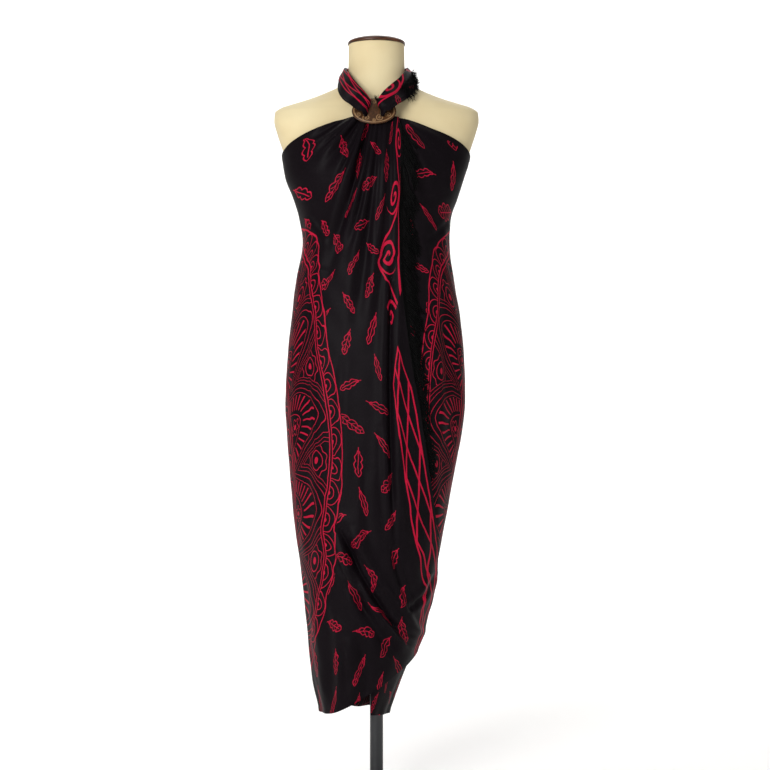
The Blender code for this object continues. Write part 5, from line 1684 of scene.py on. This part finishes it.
def tuft_paths(rings):
    """The fringed end on the right strap: strands fanned from down to outwards."""
    count = TUFT_STRANDS
    rows = (np.linspace(*TUFT_PLACE, count) * (len(rings) - 1)).astype(int)
    root = rings[rows, np.abs(low_corner(rings, 80) - draw.integers(2, 30, count))]
    share = np.linspace(0, 1, count)[:, None]
    low = [draw.uniform(-0.2, 0.5, count), np.full(count, -0.60), np.full(count, -0.80)]
    high = [np.full(count, 0.70), draw.uniform(-0.6, -0.1, count), draw.uniform(-0.5, 0.7, count)]
    low, high = np.stack(low, axis=1), np.stack(high, axis=1)
    aim = unit(low + (high - low) * share + draw.normal(0, 0.12, (count, 3)))
    length = (0.014 - 0.004 * share[:, 0]) * draw.uniform(0.6, 1.15, count)
    return wavy(root, aim, length, 0.002, 0.0020, 7, draw)


def wisp_paths(rings):
    """A wisp that stands up from the strap just above the buckle."""
    half = rings.shape[1] // 2
    root = rings[draw.integers(30, 42, WISP_STRANDS), half - low_corner(rings, 80)]
    aim = unit(np.array([-0.25, -0.35, 0.9]) + draw.normal(0, 0.22, (WISP_STRANDS, 3)))
    return wavy(root, aim, draw.uniform(0.006, 0.013, WISP_STRANDS), 0.0, 0.0010, 7, draw)


draw = np.random.default_rng(44)
threads = strand_tubes(np.concatenate([tuft_paths(right_rings), wisp_paths(right_rings)]), THREAD_RADIUS)
add_piece("neck_fringe_threads", *threads, [fringe_thread], ["strap_fringe"], "rayon_fringe")

# %% Fringes of the tails
TAIL_STRANDS = 90


def tail_fringe_paths(rings, seed):
    """Strands from the lower end of a tail, which hang and spread a little."""
    draw = np.random.default_rng(seed)
    last = rings[-1]
    spread = draw.uniform(-1, 1, TAIL_STRANDS)
    quarter = len(last) // 4
    broad = (last[0] - last[2 * quarter]) / 2
    thick = (last[quarter] - last[3 * quarter]) / 2
    inwards = draw.uniform(-0.7, 0.7, TAIL_STRANDS)[:, None]
    root = last.mean(axis=0) + spread[:, None] * broad * 0.95 + inwards * thick
    root[:, 2] += 0.001
    aside = spread * 0.22 * np.sign(broad[0])
    aim = unit(np.stack([aside, draw.normal(0.02, 0.05, TAIL_STRANDS), -np.ones(TAIL_STRANDS)], axis=1))
    return wavy(root, aim, draw.uniform(0.034, 0.045, TAIL_STRANDS), 0.0, 0.0018, 8, draw)


for side, rings, seed in (("left", left_tail_rings, 51), ("right", right_tail_rings, 52)):
    threads = strand_tubes(tail_fringe_paths(rings, seed), THREAD_RADIUS)
    replaced = [f"tail_fringe_{side}"]
    add_piece(f"tail_fringe_threads_{side}", *threads, [fringe_thread], replaced, "rayon_fringe")

# %% [markdown]
# ## Floor and light
#
# A plain pale floor and four broad soft lights stand in for the studio: one from the front, a little
# to the left, one from the right to open the shadows, one overhead and one on the backdrop.

# %% Floor
def make_floor_paint():
    """Matt studio paint: near white, with a barely visible unevenness."""
    material, tree, shader = new_material("matt floor paint")
    place = add_node(tree, "TexCoord").outputs["Object"]
    patch = add_node(tree, "TexNoise", {"Vector": place, "Scale": 2.0, "Detail": 2.0})
    tint = add_node(tree, "ValToRGB", [patch], [(0.0, "#F6F5F3"), (1.0, "#FAF9F8")])
    finish_shader(tree, shader, Base_Color=tint, Roughness=0.9)
    return material


FLOOR_REACH = 20.0
WALL_PLACE = 6.0
WALL_HEIGHT = 9.0
BEND_RADIUS = 1.2
FLOOR_DROP = 0.0005  # below the foot, so that the two don't share a plane


def sweep_points():
    """A floor that bends up into a wall: flat, then a quarter circle, then upright."""
    arc = np.linspace(0, math.pi / 2, 24)
    start = WALL_PLACE - BEND_RADIUS
    run = np.concatenate([[-FLOOR_REACH, start], start + BEND_RADIUS * np.sin(arc[1:]), [WALL_PLACE]])
    rise = np.concatenate([[0.0, 0.0], BEND_RADIUS * (1 - np.cos(arc[1:])), [WALL_HEIGHT]])
    grid = np.zeros((2, len(run), 3))
    grid[..., 0] = np.array([-FLOOR_REACH, FLOOR_REACH])[:, None]
    grid[..., 1] = run
    grid[..., 2] = rise - FLOOR_DROP
    return grid


grid = sweep_points()
count = grid.shape[1]
floor_faces = [(i, i + count, i + count + 1, i + 1) for i in range(count - 1)]
floor_mesh = bpy.data.meshes.new("studio_sweep")
floor_mesh.from_pydata(grid.reshape(-1, 3).tolist(), [], floor_faces)
floor_mesh.shade_smooth()
floor_mesh.materials.append(make_floor_paint())
floor = bpy.data.objects.new("studio_sweep", floor_mesh)
bpy.context.scene.collection.objects.link(floor)
print("floor and wall of", len(floor_faces), "faces")

# %% Light
Lamp = namedtuple("Lamp", "name place aim size power")
LAMPS = [
    Lamp("key", (-1.7, -3.2, 1.75), (0.0, 0.0, 0.9), 1.7, 114),
    Lamp("fill", (2.8, -2.4, 1.3), (0.0, 0.0, 0.7), 2.4, 14),
    Lamp("top", (0.3, 0.5, 3.6), (0.0, 0.3, 0.6), 2.6, 10),
    Lamp("backdrop", (0.0, 3.3, 4.6), (0.0, 5.6, 0.6), 5.0, 260),
]
for lamp in LAMPS:
    light = bpy.data.lights.new(lamp.name, "AREA")
    light.size = lamp.size
    light.energy = lamp.power
    holder = bpy.data.objects.new(lamp.name, light)
    holder.location = lamp.place
    aim = np.array(lamp.aim) - np.array(lamp.place)
    flat = math.hypot(aim[0], aim[1])
    holder.rotation_euler = (math.pi / 2 - math.atan2(-aim[2], flat), 0.0, math.atan2(-aim[0], aim[1]))
    bpy.context.scene.collection.objects.link(holder)
world = bpy.data.worlds.new("studio")
world.use_nodes = True
world.node_tree.nodes["Background"].inputs[0].default_value = linear("#FFFFFF")
world.node_tree.nodes["Background"].inputs[1].default_value = 0.30
bpy.context.scene.world = world
bpy.context.scene.view_settings.view_transform = "Standard"
print(len(LAMPS), "lamps")
